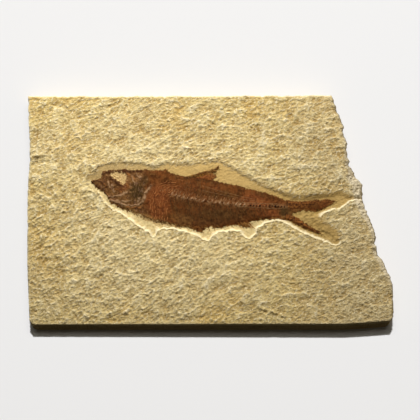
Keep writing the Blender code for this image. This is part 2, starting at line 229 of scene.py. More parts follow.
def smooth_loop(corners, pitch):
    """A closed curve through the corners, as points about one pitch apart."""
    here = np.array(corners, float)
    ahead = np.roll(here, -1, axis=0)
    span = np.linalg.norm(ahead - here, axis=1)[:, None]
    slope = (ahead - np.roll(here, 1, axis=0)) / (span + np.roll(span, 1, axis=0))
    pieces = []
    for a, b, length, out_slope, in_slope in zip(here, ahead, span[:, 0], slope, np.roll(slope, -1, axis=0)):
        t = np.arange(max(2, round(length / pitch)))[:, None]
        t = t / len(t)
        pieces.append(
            (2 * t**3 - 3 * t**2 + 1) * a
            + (t**3 - 2 * t**2 + t) * length * out_slope
            + (3 * t**2 - 2 * t**3) * b
            + (t**3 - t**2) * length * in_slope
        )
    return np.vstack(pieces)


def outward(loop, reach=1):
    """Unit normals of an anticlockwise loop, each square to the run between its neighbours."""
    along = np.roll(loop, -reach, axis=0) - np.roll(loop, reach, axis=0)
    along /= np.linalg.norm(along, axis=1)[:, None]
    return np.column_stack([along[:, 1], -along[:, 0]])


def anticlockwise(loop):
    """The loop, turned round if it runs clockwise."""
    ahead = np.roll(loop, -1, axis=0)
    area = (loop[:, 0] * ahead[:, 1] - ahead[:, 0] * loop[:, 1]).sum()
    return loop if area > 0 else loop[::-1].copy()


def wander(points, size, seed):
    """Smooth noise between about -0.5 and 0.5 at each point."""
    return np.array([noise.noise(Vector((x / size, y / size, seed))) for x, y in points])


def straightness(loop, reach):
    """1 where a loop runs straight on, down to 0 where it turns back on itself."""
    before = loop - np.roll(loop, reach, axis=0)
    after = np.roll(loop, -reach, axis=0) - loop
    turn = (before * after).sum(axis=1) / np.linalg.norm(before, axis=1) / np.linalg.norm(after, axis=1)
    return np.clip(turn, 0.0, 1.0)


def loop_distance(points, loop):
    """Distance to a closed loop, positive inside, and the index of the nearest side."""
    start_x, start_y = loop.T.astype(np.float32)
    end_x, end_y = np.roll(start_x, -1), np.roll(start_y, -1)
    run_x, run_y = end_x - start_x, end_y - start_y
    square = run_x * run_x + run_y * run_y
    slope = run_x / np.where(run_y == 0, np.float32(1.0), run_y)
    distances, sides = [], []
    for part in np.array_split(points.astype(np.float32), len(points) // 400 + 1):
        gap_x, gap_y = part[:, :1] - start_x, part[:, 1:] - start_y
        share = np.clip((gap_x * run_x + gap_y * run_y) / square, 0.0, 1.0)
        away = (gap_x - run_x * share) ** 2 + (gap_y - run_y * share) ** 2
        side = away.argmin(axis=1)
        crossed = (gap_y < 0) != (part[:, 1:] < end_y)
        inside = (crossed & (gap_x < gap_y * slope)).sum(axis=1) % 2 == 1
        nearest = np.sqrt(away[np.arange(len(part)), side])
        distances.append(np.where(inside, nearest, -nearest))
        sides.append(side)
    return np.concatenate(distances).astype(float), np.concatenate(sides)


def line_distance(points, line):
    """Distance to an open line, and the place along it from 0 to 1."""
    line = np.array(line, float)
    run = line[1:] - line[:-1]
    length = np.linalg.norm(run, axis=1)
    start = np.concatenate([[0.0], np.cumsum(length)[:-1]])
    best = np.full(len(points), 1e9)
    place = np.zeros(len(points))
    for foot, step, size, before in zip(line, run, length, start):
        share = np.clip(((points - foot) @ step) / size**2, 0.0, 1.0)
        away = np.linalg.norm(points - foot - share[:, None] * step, axis=1)
        nearer = away < best
        best = np.where(nearer, away, best)
        place = np.where(nearer, (before + share * size) / length.sum(), place)
    return best, place


def hex_points(low, high, pitch, seed):
    """A slightly uneven triangular lattice over a rectangle."""
    rows = int((high[1] - low[1]) / (pitch * 0.866)) + 1
    columns = int((high[0] - low[0]) / pitch) + 1
    j, i = np.mgrid[0:rows, 0:columns]
    x = low[0] + (i + 0.5 * (j % 2)) * pitch
    y = low[1] + j * pitch * 0.866
    points = np.column_stack([x.ravel(), y.ravel()])
    return points + np.random.default_rng(seed).uniform(-0.12, 0.12, points.shape) * pitch


def triangles(ring, fill):
    """Delaunay triangles over a closed ring and the loose points inside it."""
    spots = np.vstack([ring, fill])
    coords = [Vector(spot) for spot in spots]
    made = geometry.delaunay_2d_cdt(coords, [], [list(range(len(ring)))], 1, 1e-7)
    if len(made[0]) != len(spots):
        raise ValueError("the outline touches itself or a loose point")
    order = np.array([source[0] for source in made[3]])
    return order[np.array(made[2])]


def solid(name, verts, faces, attributes):
    """A closed mesh with smooth faces that point outwards, and its named attributes."""
    mesh = bpy.data.meshes.new(name)
    mesh.from_pydata((np.asarray(verts) * MM).tolist(), [], [list(map(int, face)) for face in faces])
    for label, values in attributes.items():
        values = np.asarray(values, float)
        kind = "FLOAT_VECTOR" if values.ndim == 2 else "FLOAT"
        layer = mesh.attributes.new(label, kind, "POINT")
        layer.data.foreach_set("vector" if values.ndim == 2 else "value", values.ravel())
    mesh.shade_smooth()
    obj = bpy.data.objects.new(name, mesh)
    bpy.context.scene.collection.objects.link(obj)
    return obj


def rings_between(upper, lower, count):
    """Side faces that join two rings of the same count, given their first indices."""
    i = np.arange(count)
    j = (i + 1) % count
    return np.column_stack([upper + i, lower + i, lower + j, upper + j])


# ================================================================ geometry node tools
def modifier_tree(name, sizes):
    """A tree with a geometry in and out, and the named sizes as inputs."""
    tree = bpy.data.node_groups.new(name, "GeometryNodeTree")
    tree.interface.new_socket("Geometry", in_out="INPUT", socket_type="NodeSocketGeometry")
    for label, kind in sizes:
        tree.interface.new_socket(label, in_out="INPUT", socket_type="NodeSocket" + kind)
    tree.interface.new_socket("Geometry", in_out="OUTPUT", socket_type="NodeSocketGeometry")
    return tree, tree.nodes.new("NodeGroupInput").outputs


def grown(obj, tree, values, name):
    """The plain mesh that a tree makes from an object, which it replaces."""
    modifier = obj.modifiers.new(tree.name, "NODES")
    modifier.node_group = tree
    for item in tree.interface.items_tree:
        if item.in_out == "INPUT" and item.name in values:
            modifier[item.identifier] = values[item.name]
    bpy.context.view_layer.update()
    evaluated = obj.evaluated_get(bpy.context.evaluated_depsgraph_get())
    mesh = bpy.data.meshes.new_from_object(evaluated)
    mesh.name = name
    bpy.data.objects.remove(obj, do_unlink=True)
    made = bpy.data.objects.new(name, mesh)
    bpy.context.scene.collection.objects.link(made)
    return made


def draped(tree, shape, surfaces, sink):
    """Lets a shape down on the surface objects, keeping its own height less the sink."""
    node = partial(add, tree)
    ground = node("GeometryNodeJoinGeometry")
    for surface in surfaces:
        info = node("GeometryNodeObjectInfo", {"Object": surface}, transform_space="RELATIVE")
        tree.links.new(info.outputs["Geometry"], ground.inputs[0])
    above = node("ShaderNodeVectorMath", {0: node("GeometryNodeInputPosition"), 1: (0.0, 0.0, 0.05)})
    ray = node("GeometryNodeRaycast", {
        "Target Geometry": ground, "Source Position": above, "Ray Direction": (0.0, 0.0, -1.0),
        "Ray Length": 0.2})
    height = node("ShaderNodeSeparateXYZ", {0: ray.outputs["Hit Position"]})
    lift = node("ShaderNodeMath", {0: height.outputs["Z"], 1: sink}, operation="SUBTRACT")
    move = node("ShaderNodeCombineXYZ", {"Z": lift})
    return node("GeometryNodeSetPosition", {
        "Geometry": shape, "Offset": move, "Selection": ray.outputs["Is Hit"]})


def dressed(tree, shape, material):
    """Ends a tree: smooth faces, real meshes, one material."""
    smooth = add(tree, "GeometryNodeSetShadeSmooth", {"Geometry": shape})
    whole = add(tree, "GeometryNodeRealizeInstances", {"Geometry": smooth})
    finished = add(tree, "GeometryNodeSetMaterial", {"Geometry": whole, "Material": material})
    add(tree, "NodeGroupOutput", {"Geometry": finished})


def chipped(tree, place, breadth, stretch, lean, seed):
    """Height of tilted, overlapping chips: each climbs gently one way and ends in a short scarp."""
    node = partial(add, tree)
    size = node("ShaderNodeCombineXYZ", {"X": breadth, "Y": breadth, "Z": breadth})
    spot = node("ShaderNodeVectorMath", {0: place, 1: size}, operation="DIVIDE")
    shift = node("ShaderNodeCombineXYZ", {"X": seed, "Y": seed})
    spot = node("ShaderNodeVectorMath", {0: spot, 1: shift})
    bend = node("ShaderNodeTexNoise", {"Vector": spot, "Scale": 0.55, "Detail": 2.0, "Roughness": 0.6})
    spot = node("ShaderNodeVectorMath", {
        0: bend.outputs["Color"], 1: (1.5, 1.5, 0.0), 2: spot}, operation="MULTIPLY_ADD")
    spot = node("ShaderNodeVectorRotate", {"Vector": spot, "Angle": -lean}, rotation_type="Z_AXIS")
    drawn = node("ShaderNodeCombineXYZ", {"X": stretch, "Y": 1.0, "Z": 1.0})
    spot = node("ShaderNodeVectorMath", {0: spot, 1: drawn}, operation="DIVIDE")
    cells = node("ShaderNodeTexVoronoi", {
        "Vector": spot, "Scale": 1.0}, voronoi_dimensions="2D", feature="F1")
    gap = node("ShaderNodeVectorMath", {0: spot, 1: cells.outputs["Position"]}, operation="SUBTRACT")
    tilt = node("ShaderNodeVectorMath", {
        0: cells.outputs["Color"], 1: (0.8, 0.8, 0.0), 2: (-0.54, -0.02, 0.0)}, operation="MULTIPLY_ADD")
    climb = node("ShaderNodeVectorMath", {0: gap, 1: tilt}, operation="DOT_PRODUCT").outputs["Value"]
    cup = node("ShaderNodeMath", {0: cells.outputs["Distance"], 1: 0.7, 2: -0.32}, operation="MULTIPLY_ADD")
    return node("ShaderNodeMath", {0: climb, 1: cup})


# ================================================================ plate
RECESS = anticlockwise(smooth_loop(RECESS_OUTLINE, 0.5))
RECESS_RAGGED = (wander(RECESS, 1.7, 4.2) * 0.6 + wander(RECESS, 0.8, 1.2) * 0.45) * np.interp(
    RECESS[:, 0], [-43.0, -38.0, 18.0, 28.0], [0.25, 1.0, 1.0, 0.4])     # calmer at the snout and the tail
RECESS += outward(RECESS) * RECESS_RAGGED[:, None]
FISH = anticlockwise(smooth_loop(FISH_OUTLINE, 0.2))
# 1 along the belly, 0 along the back and behind the anal fin
FISH_FRAYED = ease(-outward(FISH, 6)[:, 1], -0.2, 0.5) * ease(-FISH[:, 0], -22.0, -16.0)
FISH_RAGGED = wander(FISH, 1.3, 8.1) * 0.45 + wander(FISH, 0.5, 2.2) * (0.4 + 0.5 * FISH_FRAYED)
FISH += outward(FISH) * (FISH_RAGGED * straightness(FISH, 4))[:, None]
FISH_COARSE = FISH[::3]         # near enough for distances to the outline


def bedding(points):
    """Height of the mean pecked face."""
    return PLATE_MID_HEIGHT + PLATE_END_RISE * points[:, 0] / PLATE_HALF_LENGTH


def along_x(points, pairs):
    """The value at each point's x, read from pairs of x and value."""
    return np.interp(points[:, 0], *np.array(pairs).T)


def recess_drop(points):
    """How far the recess lies under the bedding plane, the distance inside its rim, and two shares: the
    belly side and its bevel."""
    inset, side = loop_distance(points, RECESS)
    below = ease(-outward(RECESS, 2)[side, 1], -0.15, 0.35)
    low_side = ease(along_x(points, FISH_AXIS) - points[:, 1], 0.0, 10.0)
    back, belly = along_x(points, RECESS_BACK_DEPTH), along_x(points, RECESS_BELLY_DEPTH)
    depth = back + (belly - back) * low_side
    fading = 1.0 + 2.5 * ease(points[:, 0], 42.0, 46.0) * ease(-points[:, 1], 1.0, 4.0)
    wall = inset / along_x(points, RECESS_WALL) / fading
    rounded, straight = ease(wall, 0.0, 1.0), np.clip(wall, 0.0, 1.0)
    wall = rounded + (straight - rounded) * ease(points[:, 0], 24.0, 34.0)
    ragged = 1.0 + wander(points, 1.6, 6.1) * (1.5 - 0.8 * ease(points[:, 0], 14.0, 24.0))
    ragged = np.maximum(ragged, 0.35)
    slope = np.clip(inset / along_x(points, RECESS_BEVEL) / ragged, 0.0, 1.0)
    lip = BEVEL_LIP * (1.0 + wander(points, 1.2, 9.3) * 1.2)
    bevel = lip * ease(inset, -0.1, 0.35) + (1.0 - lip) * slope * (1.6 - 0.6 * slope)
    share = np.where(inset < -0.1, 0.0, wall + (bevel - wall) * below)
    low = below * (inset > -0.15)
    return depth * share, inset, low, low * (1.0 - slope ** 1.2) * ease(depth, 0.15, 0.55)


def floor_height(points):
    """Height of the recess's floor."""
    return bedding(points) - recess_drop(points)[0]


# Marks on the pecked face: a line, its breadth and how far it stands up (or is cut down).
FACE_MARKS = [
    ([(-66.4, -17.0), (-63.5, -12.5), (-61.4, -9.3)], 0.7, -0.45),
    ([(-16.2, -28.5), (-14.3, -25.6), (-12.3, -23.6), (-8.4, -21.1)], 0.5, -0.4),
    ([(20.6, -41.6), (24.7, -42.8), (29.7, -44.8)], 0.4, 0.35),
    ([(24.7, -25.2), (27.9, -28.4)], 0.4, 0.3),
    ([(-64.1, 41.8), (-61.3, 44.0), (-58.8, 43.1)], 1.1, -0.28),
    ([(-50.5, 7.3), (-47.0, 7.2), (-43.4, 5.8)], 0.7, 0.4),
    ([(-43.0, 7.0), (-41.0, 3.6), (-38.0, 0.8)], 0.25, -0.2),
    ([(-71.8, 21.5), (-66.0, 22.5), (-64.0, 26.5)], 0.7, 0.45),
    ([(-71.5, 18.0), (-66.5, 19.5), (-61.0, 19.0)], 0.8, -0.22),
    ([(-24.9, 38.7), (-24.5, 38.9)], 0.45, -0.5),
]


def plate_loop():
    """The plate's outline, how far the top bed lies back at each point, and where it is broken."""
    sawn = []
    for a, b in zip(SAWN_EDGES[:-1], SAWN_EDGES[1:]):
        count = max(1, round(math.dist(a, b) / STONE_PITCH))
        share = np.arange(count)[:, None] / count
        sawn.append(np.array(a) + (np.array(b) - np.array(a)) * share)
    sawn = np.vstack(sawn + [np.array([SAWN_EDGES[-1]])])

    spots = np.array(BREAK_LINE)
    count = round(np.linalg.norm(np.diff(spots[:, :2], axis=0), axis=1).sum() / STONE_PITCH)
    place = np.linspace(0, len(spots) - 1, count)
    torn = np.column_stack([np.interp(place, np.arange(len(spots)), spots[:, k]) for k in range(3)])
    torn[:, 0] += wander(torn[:, :2], 2.6, 1.5) * 0.8 + wander(torn[:, :2], 0.9, 7.5) * 0.35 - 0.3
    torn[:, 0] += 0.8 * ease(-torn[:, 1], 18.0, 28.0)

    # small bites out of every edge but the near one, which the saw left clean
    loop = np.vstack([sawn, torn[:, :2]])
    bites = np.maximum(0.0, wander(loop, 3.1, 5.0) - 0.1) * 0.7
    bites += np.maximum(0.0, wander(loop, 1.1, 2.0)) * 0.25
    bites *= 1.0 - 0.85 * ease(-loop[:, 1], 45.5, 46.8)
    loop = loop - outward(loop, 3) * bites[:, None]
    loop[:, 0] = np.minimum(loop[:, 0], cad_high[0] / MM - 0.02)
    lay_back = np.concatenate([np.zeros(len(sawn)), torn[:, 2]])
    broken = np.concatenate([np.zeros(len(sawn)), np.ones(len(torn))])
    return loop, lay_back, broken


def face_points(loop):
    """Loose points over the pecked face, closer along the recess's rim."""
    outer = loop[::2]
    spread = hex_points(loop.min(axis=0), loop.max(axis=0), STONE_PITCH, 3)
    inset, _ = loop_distance(spread, outer)
    rim, _ = loop_distance(spread, RECESS)
    spread = spread[(inset > 0.6 * STONE_PITCH) & ~((rim > -0.45) & (rim < 1.0))]
    contours = []
    for offset, pitch in RIM_CONTOURS:
        fine = smooth_loop(RECESS[::2], pitch)
        line = fine - outward(fine) * offset
        real, _ = loop_distance(line, RECESS)
        contours.append(line[abs(real - offset) < 0.1])
    contours = np.vstack(contours)
    inset, _ = loop_distance(contours, outer)
    return np.vstack([spread, contours[inset > 0.35]])


def edge_wear(spots, loop, lay_back, broken):
    """What the face loses along its edges: the worn sawn arris, and the laminae that step down to the
    break. Then three shares: the near edge, the sawn edges' margin and their arris."""
    count = len(loop)
    inset, side = loop_distance(spots, loop[::2])
    inset = np.maximum(inset, 0.0)
    inset[:count] = 0.0
    side = np.minimum(side * 2, count - 1)
    side[:count] = np.arange(count)
    lay = lay_back[side]
    sawn = 1.0 - broken[side]
    margin, arris_share = [(1.0 - ease(inset, *reach)) * sawn for reach in ((0.3, 1.5), (0.0, 0.9))]
    near = ease(-spots[:, 1], 44.5, 46.5)
    wear = ARRIS_DROP * (1.0 + wander(spots, 2.2, 6.6) * (1.6 - 1.3 * near)) * (1.0 - 0.75 * near)
    arris = wear * np.clip(1.0 - inset / ARRIS_WEAR, 0.0, 1.0) ** 2
    slope = np.clip(1.0 - inset / (0.9 + 1.25 * lay), 0.0, 1.0)
    slope = slope ** 1.5 * (0.35 + 0.36 * lay) * broken[side]
    terrace = slope + wander(spots, 1.9, 3.9) * 0.4 * ease(slope, 0.1, 0.6)
    steps = terrace / LAMINA_STEP
    ledge = np.floor(steps) * LAMINA_STEP + LAMINA_STEP * ease(steps % 1.0, 0.6, 0.95)
    slope = np.where(slope > 0.0, np.maximum(0.55 * slope + 0.45 * ledge, 0.0), 0.0)
    return arris, slope, near, margin, arris_share


def mark_heights(spots):
    """Height of the single marks on the face."""
    total = np.zeros(len(spots))
    for line, breadth, lift in FACE_MARKS:
        gap, _ = line_distance(spots, line)
        total += lift * np.exp(-(gap / breadth) ** 2)
    return total


def side_rings(loop, away, tops, broken):
    """The plate's sides as rings of points, level by level: thin beds stand out or lie back."""
    calm = sum(np.roll(loop, shift, axis=0) for shift in range(-3, 4)) / 7
    rings = []
    for number, share in enumerate(SIDE_LEVELS):
        bed = number // LEVELS_IN_A_BED
        back = (0.12 + wander(loop, 5.0, 10.0 + bed * 3.7) * 0.5) * broken * (number > 0)
        back = np.maximum(back, 0.0) + (UNDERSIDE_INSET if share == 0.0 else 0.0)
        ragged = share * 0.8
        ring = loop * ragged + calm * (1.0 - ragged) - away * back[:, None]
        rings.append(np.column_stack([ring, tops * share]))
    return rings


def build_plate():
    """The plate as one closed mesh, with the marks that its tree and its material read."""
    loop, lay_back, broken = plate_loop()
    count = len(loop)
    away = outward(loop, 5)

    # the face, cut down by the recess and worn at its edges
    fill = face_points(loop)
    spots = np.vstack([loop, fill])
    drop, rim, low_share, bevel = recess_drop(spots)
    arris, slope, near, margin, arris_share = edge_wear(spots, loop, lay_back, broken)
    heights = bedding(spots) - drop - arris - slope
    verts = [np.column_stack([spots, heights])]
    faces = [triangles(loop, fill)]

    # the sides
    above = 0
    start = len(spots)
    for ring in side_rings(loop, away, heights[:count], broken):
        verts.append(ring)
        faces.append(rings_between(above, start, count))
        above = start
        start += count

    # the underside
    bottom = verts[-1][:, :2]
    spread = hex_points(loop.min(axis=0), loop.max(axis=0), UNDERSIDE_PITCH, 5)
    inset, _ = loop_distance(spread, bottom)
    spread = spread[inset > 0.8]
    under = triangles(bottom, spread)[:, ::-1]
    under = np.where(under < count, under + above, under - count + start)
    verts.append(np.column_stack([spread, np.zeros(len(spread))]))
    faces.append(under)

    # marks: on the face, on the sides and below
    verts = np.vstack(verts)
    total = len(verts)
    on_face = slice(0, len(spots))
    on_sides = slice(len(spots), total - len(spread))
    x, y = spots.T
    below_fish, _ = loop_distance(spots, FISH_COARSE)
    bare = 1.0 - ease(below_fish, -0.25, 0.35)
    smoothed = 0.66 - 0.30 * ease(x, 28.0, 38.0) * ease(-y, 0.0, 4.0)
    firm = 1.0 + 0.09 * ease(-x, -10.0, 50.0) - 0.17 * ease(x, 10.0, 60.0) * ease(-y, -5.0, 20.0)
    pecked = (1.0 - smoothed * ease(rim, -0.5, 0.5)) * (1.0 - (0.7 + 0.3 * near) * margin) * bare * firm
    face_marks = {
        "pecked": pecked, "grained": (0.35 + 0.65 * pecked) * bare * (1.0 - near * margin),
        "mark": mark_heights(spots), "rim": rim, "low": low_share, "bevel": bevel, "arris": arris_share,
        "torn": ease(slope, 0.05, 0.5)}
    attributes = {label: np.zeros(total) for label in (*face_marks, "broken", "side", "under")}
    attributes["away"] = np.zeros((total, 3))
    for label, values in face_marks.items():
        attributes[label][on_face] = values
    attributes["rim"][len(spots):] = -9.0
    attributes["side"][on_sides] = 1.0
    attributes["broken"][on_sides] = np.tile(broken, len(SIDE_LEVELS))
    attributes["away"][on_sides] = np.tile(np.column_stack([away, np.zeros(count)]), (len(SIDE_LEVELS), 1))
    attributes["under"][total - len(spread):] = 1.0
    return solid("limestone_plate", verts, [face for part in faces for face in part.tolist()], attributes)


def pecked_stone_tree():
    """Roughens a plate: tilted chips on its face, split laminae on its broken edge, worn hollows below."""
    tree, given = modifier_tree("pecked_stone", [
        *((label, "Float") for label in (
            "Chip breadth", "Chip stretch", "Chip depth", "Spall breadth", "Spall depth",
            "Flake breadth", "Flake depth", "Swell breadth", "Swell", "Lamina", "Lamina depth",
            "Hollow depth", "Highest", "Seed")),
        ("Material", "Material")])
    node = partial(add, tree)
    marked = {label: node("GeometryNodeInputNamedAttribute", {"Name": label}, data_type="FLOAT")
              for label in ("pecked", "grained", "mark", "broken", "side", "under")}
    away = node("GeometryNodeInputNamedAttribute", {"Name": "away"}, data_type="FLOAT_VECTOR")
    place = node("GeometryNodeInputPosition")
    in_mm = node("ShaderNodeVectorMath", {0: place, "Scale": 1 / MM}, operation="SCALE")

    # two families of chips that lean different ways, each ruling its own part of the face
    across = node("ShaderNodeSeparateXYZ", {0: in_mm})
    spread = node("ShaderNodeTexNoise", {"Vector": in_mm, "Scale": 0.03, "Detail": 1.0})
    corner = node("ShaderNodeMath", {0: across.outputs["X"], 1: across.outputs["Y"]})
    drift = node("ShaderNodeMath", {0: corner, 1: 0.005, 2: spread}, operation="MULTIPLY_ADD")
    drift = node("ShaderNodeMapRange", {
        "Value": drift, "From Min": 0.38, "From Max": 0.68}, interpolation_type="SMOOTHSTEP")
    other = node("ShaderNodeMath", {0: given["Seed"], 1: 5.3})
    rising, falling, spalls, flakes = [
        chipped(tree, in_mm, given[breadth], given["Chip stretch"], math.radians(lean), seed)
        for breadth, lean, seed in (
            ("Chip breadth", 33, given["Seed"]), ("Chip breadth", 0, other),
            ("Spall breadth", 22, other), ("Flake breadth", 20, other))]
    chips = node("ShaderNodeMix", {"Factor": drift, "A": rising, "B": falling})

    broad = node("ShaderNodeMath", {0: 1.0, 1: given["Swell breadth"]}, operation="DIVIDE")
    swell = node("ShaderNodeTexNoise", {"Vector": in_mm, "Scale": broad, "Detail": 2.0, "Roughness": 0.5})
    swell = node("ShaderNodeMath", {0: swell, 1: 0.5}, operation="SUBTRACT")
    relief = node("ShaderNodeMath", {0: chips, 1: given["Chip depth"]}, operation="MULTIPLY")
    relief = node("ShaderNodeMath", {0: spalls, 1: given["Spall depth"], 2: relief}, operation="MULTIPLY_ADD")
    relief = node("ShaderNodeMath", {0: swell, 1: given["Swell"], 2: relief}, operation="MULTIPLY_ADD")
    relief = node("ShaderNodeMath", {0: relief, 1: marked["pecked"]}, operation="MULTIPLY")
    fine = node("ShaderNodeMath", {0: given["Flake depth"], 1: marked["grained"]}, operation="MULTIPLY")
    relief = node("ShaderNodeMath", {0: flakes, 1: fine, 2: relief}, operation="MULTIPLY_ADD")
    lift = node("ShaderNodeMath", {0: relief, 1: marked["mark"]})
    level = node("ShaderNodeSeparateXYZ", {0: place}).outputs["Z"]
    tall = node("ShaderNodeMath", {0: lift, 1: MM, 2: level}, operation="MULTIPLY_ADD")
    tall = node("ShaderNodeMath", {0: tall, 1: given["Highest"], 2: 0.2 * MM}, operation="SMOOTH_MIN")
    up = node("ShaderNodeMath", {0: tall, 1: level}, operation="SUBTRACT")

    # the broken edge's laminae: noise drawn out along the bedding, cut inwards only
    flat = node("ShaderNodeVectorMath", {0: in_mm, 1: (0.35, 0.35, 1.0)}, operation="MULTIPLY")
    thin = node("ShaderNodeMath", {0: 1.0, 1: given["Lamina"]}, operation="DIVIDE")
    beds = node("ShaderNodeTexNoise", {"Vector": flat, "Scale": thin, "Detail": 3.0, "Roughness": 0.6})
    cutback = node("ShaderNodeMapRange", {"Value": beds, "From Min": 0.62, "From Max": 0.30, "To Max": MM})
    cutback = node("ShaderNodeMath", {0: cutback, 1: given["Lamina depth"]}, operation="MULTIPLY")
    open_side = node("ShaderNodeMath", {0: marked["broken"], 1: 0.9, 2: 0.1}, operation="MULTIPLY_ADD")
    cutback = node("ShaderNodeMath", {0: cutback, 1: open_side}, operation="MULTIPLY")
    cutback = node("ShaderNodeMath", {0: cutback, 1: marked["side"]}, operation="MULTIPLY")
    inward = node("ShaderNodeMath", {0: cutback, 1: -1.0}, operation="MULTIPLY")
    sideways = node("ShaderNodeVectorMath", {0: away, "Scale": inward}, operation="SCALE")

    # the underside: faint hollows, never below the rest plane
    worn = node("ShaderNodeTexNoise", {"Vector": in_mm, "Scale": 0.12, "Detail": 4.0})
    worn = node("ShaderNodeMapRange", {
        "Value": worn, "From Min": 0.5, "From Max": 1.0, "To Max": given["Hollow depth"]})
    worn = node("ShaderNodeMath", {0: worn, 1: marked["under"]}, operation="MULTIPLY")
    up = node("ShaderNodeCombineXYZ", {"Z": node("ShaderNodeMath", {0: up, 1: worn})})
    offset = node("ShaderNodeVectorMath", {0: up, 1: sideways})
    moved = node("GeometryNodeSetPosition", {"Geometry": given["Geometry"], "Offset": offset})
    kept = node("GeometryNodeStoreNamedAttribute", {
        "Geometry": moved, "Name": "hollow", "Value": relief}, data_type="FLOAT", domain="POINT")
    dressed(tree, kept, given["Material"])
    return tree


# ================================================================ fish
# Bones that mark the film: a line, half its breadth, its rise, and its tone.
SKULL_LINES = [
    ([(-42.0, 14.4), (-39.5, 15.2), (-36.0, 15.7), (-31.0, 15.6), (-26.5, 15.3)], 0.45, 0.12, "dark"),
    ([(-46.3, 11.4), (-44.0, 11.3), (-42.0, 10.4), (-40.4, 8.6)], 0.4, 0.14, "dark"),
    ([(-46.2, 10.8), (-44.4, 9.2), (-42.4, 7.4), (-40.8, 5.9), (-39.6, 4.2)], 0.4, 0.14, "dark"),
    ([(-38.8, 12.3), (-36.6, 10.7), (-34.2, 9.0)], 0.55, 0.1, "dark"),
    ([(-40.2, 4.7), (-37.7, 4.5), (-35.1, 5.0), (-33.4, 5.6), (-32.2, 6.5)], 0.34, 0.16, "pale"),
    ([(-38.6, 3.2), (-35.1, 1.8), (-32.7, 1.0), (-31.0, 1.0), (-28.2, 1.2), (-26.5, 1.9),
      (-25.1, 3.9), (-24.8, 6.1), (-23.5, 7.6), (-22.6, 9.2)], 0.42, 0.18, "pale"),
    ([(-27.8, 2.4), (-26.8, 4.2)], 0.24, 0.08, "pale"),
    ([(-32.4, 0.3), (-29.7, 0.0), (-26.8, 0.3)], 0.3, 0.1, "orange"),
    ([(-39.8, 11.2), (-39.4, 9.6), (-39.0, 8.3)], 0.2, 0.07, "pale"),
    ([(-38.3, 10.0), (-38.0, 8.0), (-37.2, 6.6)], 0.3, 0.08, "pale"),
    ([(-41.5, 10.2), (-40.6, 8.0)], 0.25, 0.06, "orange"),
    ([(-32.0, 10.6), (-31.6, 8.6)], 0.6, 0.05, "orange"),
    ([(-32.2, 14.2), (-30.4, 13.2), (-29.3, 12.2)], 0.35, 0.08, "orange"),
    ([(-30.6, 13.8), (-29.8, 11.6), (-29.2, 9.4)], 0.22, 0.07, "pale"),
    ([(-28.6, 14.4), (-27.8, 13.2), (-27.4, 12.2)], 0.2, 0.06, "pale"),
    ([(-26.9, 12.8), (-26.6, 12.6)], 0.4, 0.12, "pale"),
    ([(-37.0, 7.8), (-34.4, 6.7)], 0.3, 0.06, "orange"),
    ([(-36.8, 3.2), (-33.6, 2.6), (-30.8, 2.8)], 0.3, 0.08, "pale"),
    ([(-8.0, 12.9), (-4.0, 13.9), (-0.5, 14.9), (4.2, 16.9)], 0.5, 0.10, "dark"),
]

# Soft patches of pigment: centre, half lengths, turn in degrees, strength.
PIGMENT = {
    "rust": [
        ((-19.5, 2.5), (5.0, 7.5), 0, 1.0), ((-14.0, 7.6), (8.5, 2.4), -12, 0.55),
        ((19.0, 2.6), (6.0, 3.6), -15, 0.9), ((25.0, -2.6), (6.0, 1.6), 0, 0.7),
        ((1.6, 14.0), (4.0, 1.7), 20, 1.0), ((-33.5, 8.2), (2.2, 1.4), 25, 0.5),
        ((47.0, 1.4), (3.4, 1.2), 0, 0.5), ((-2.0, 8.5), (9.0, 2.6), -8, 0.3),
    ],
    "umber": [
        ((2.5, -3.8), (12.5, 4.6), 0, 0.85), ((12.0, -2.2), (7.5, 3.2), 0, 0.55),
        ((-11.0, 3.4), (2.8, 1.9), -10, 0.6), ((39.0, -7.6), (7.0, 1.5), -32, 0.9),
        ((-7.0, 12.9), (3.6, 0.8), 14, 0.9), ((37.0, 1.0), (9.0, 1.4), 3, 0.85),
        ((-32.0, 15.8), (9.0, 1.0), 0, 0.7), ((-36.5, 14.8), (4.0, 0.9), 0, 0.5),
    ],
    "moss": [
        ((-28.4, 6.6), (3.3, 4.5), 0, 1.0), ((31.0, -2.0), (2.8, 2.1), 0, 0.9),
        ((-25.0, 11.2), (1.8, 2.6), 0, 0.6), ((4.0, 6.0), (9.0, 1.6), -6, 0.45),
        ((-18.5, -5.2), (3.4, 1.0), -18, 0.6), ((-41.0, 8.6), (1.6, 2.4), 10, 0.25),
        ((6.0, -3.0), (8.0, 2.2), 0, 0.35), ((21.5, 5.6), (2.2, 1.2), -20, 0.5),
    ],
    "tan": [
        ((3.0, 15.0), (3.2, 2.4), 30, 0.95), ((15.0, -7.6), (2.6, 1.2), 0, 1.0),
        ((-30.8, 11.8), (1.8, 2.2), 0, 0.35), ((-38.4, 6.4), (2.6, 1.6), 0, 0.35),
        ((-44.0, 10.4), (1.6, 1.2), -30, 0.35), ((-32.6, 3.6), (4.0, 2.0), -12, 0.3),
        ((-10.5, -4.6), (5.0, 2.2), -12, 0.3), ((-30.5, -0.7), (4.5, 1.1), -28, 0.75),
        ((-23.6, -4.0), (3.6, 1.3), -24, 0.75), ((31.0, -4.2), (2.0, 1.0), -30, 0.45),
        ((35.0, -1.6), (2.6, 0.9), 20, 0.5),
    ],
}


def patch_strength(points, patches):
    """How strongly the strongest of the patches colours each point."""
    total = np.zeros(len(points))
    for centre, radii, turn, strength in patches:
        angle = math.radians(turn)
        gap = points - np.array(centre)
        along = gap[:, 0] * math.cos(angle) + gap[:, 1] * math.sin(angle)
        across = gap[:, 1] * math.cos(angle) - gap[:, 0] * math.sin(angle)
        reach = np.sqrt((along / radii[0]) ** 2 + (across / radii[1]) ** 2)
        total = np.maximum(total, strength * ease(-reach, -1.35, -0.45))
    return total


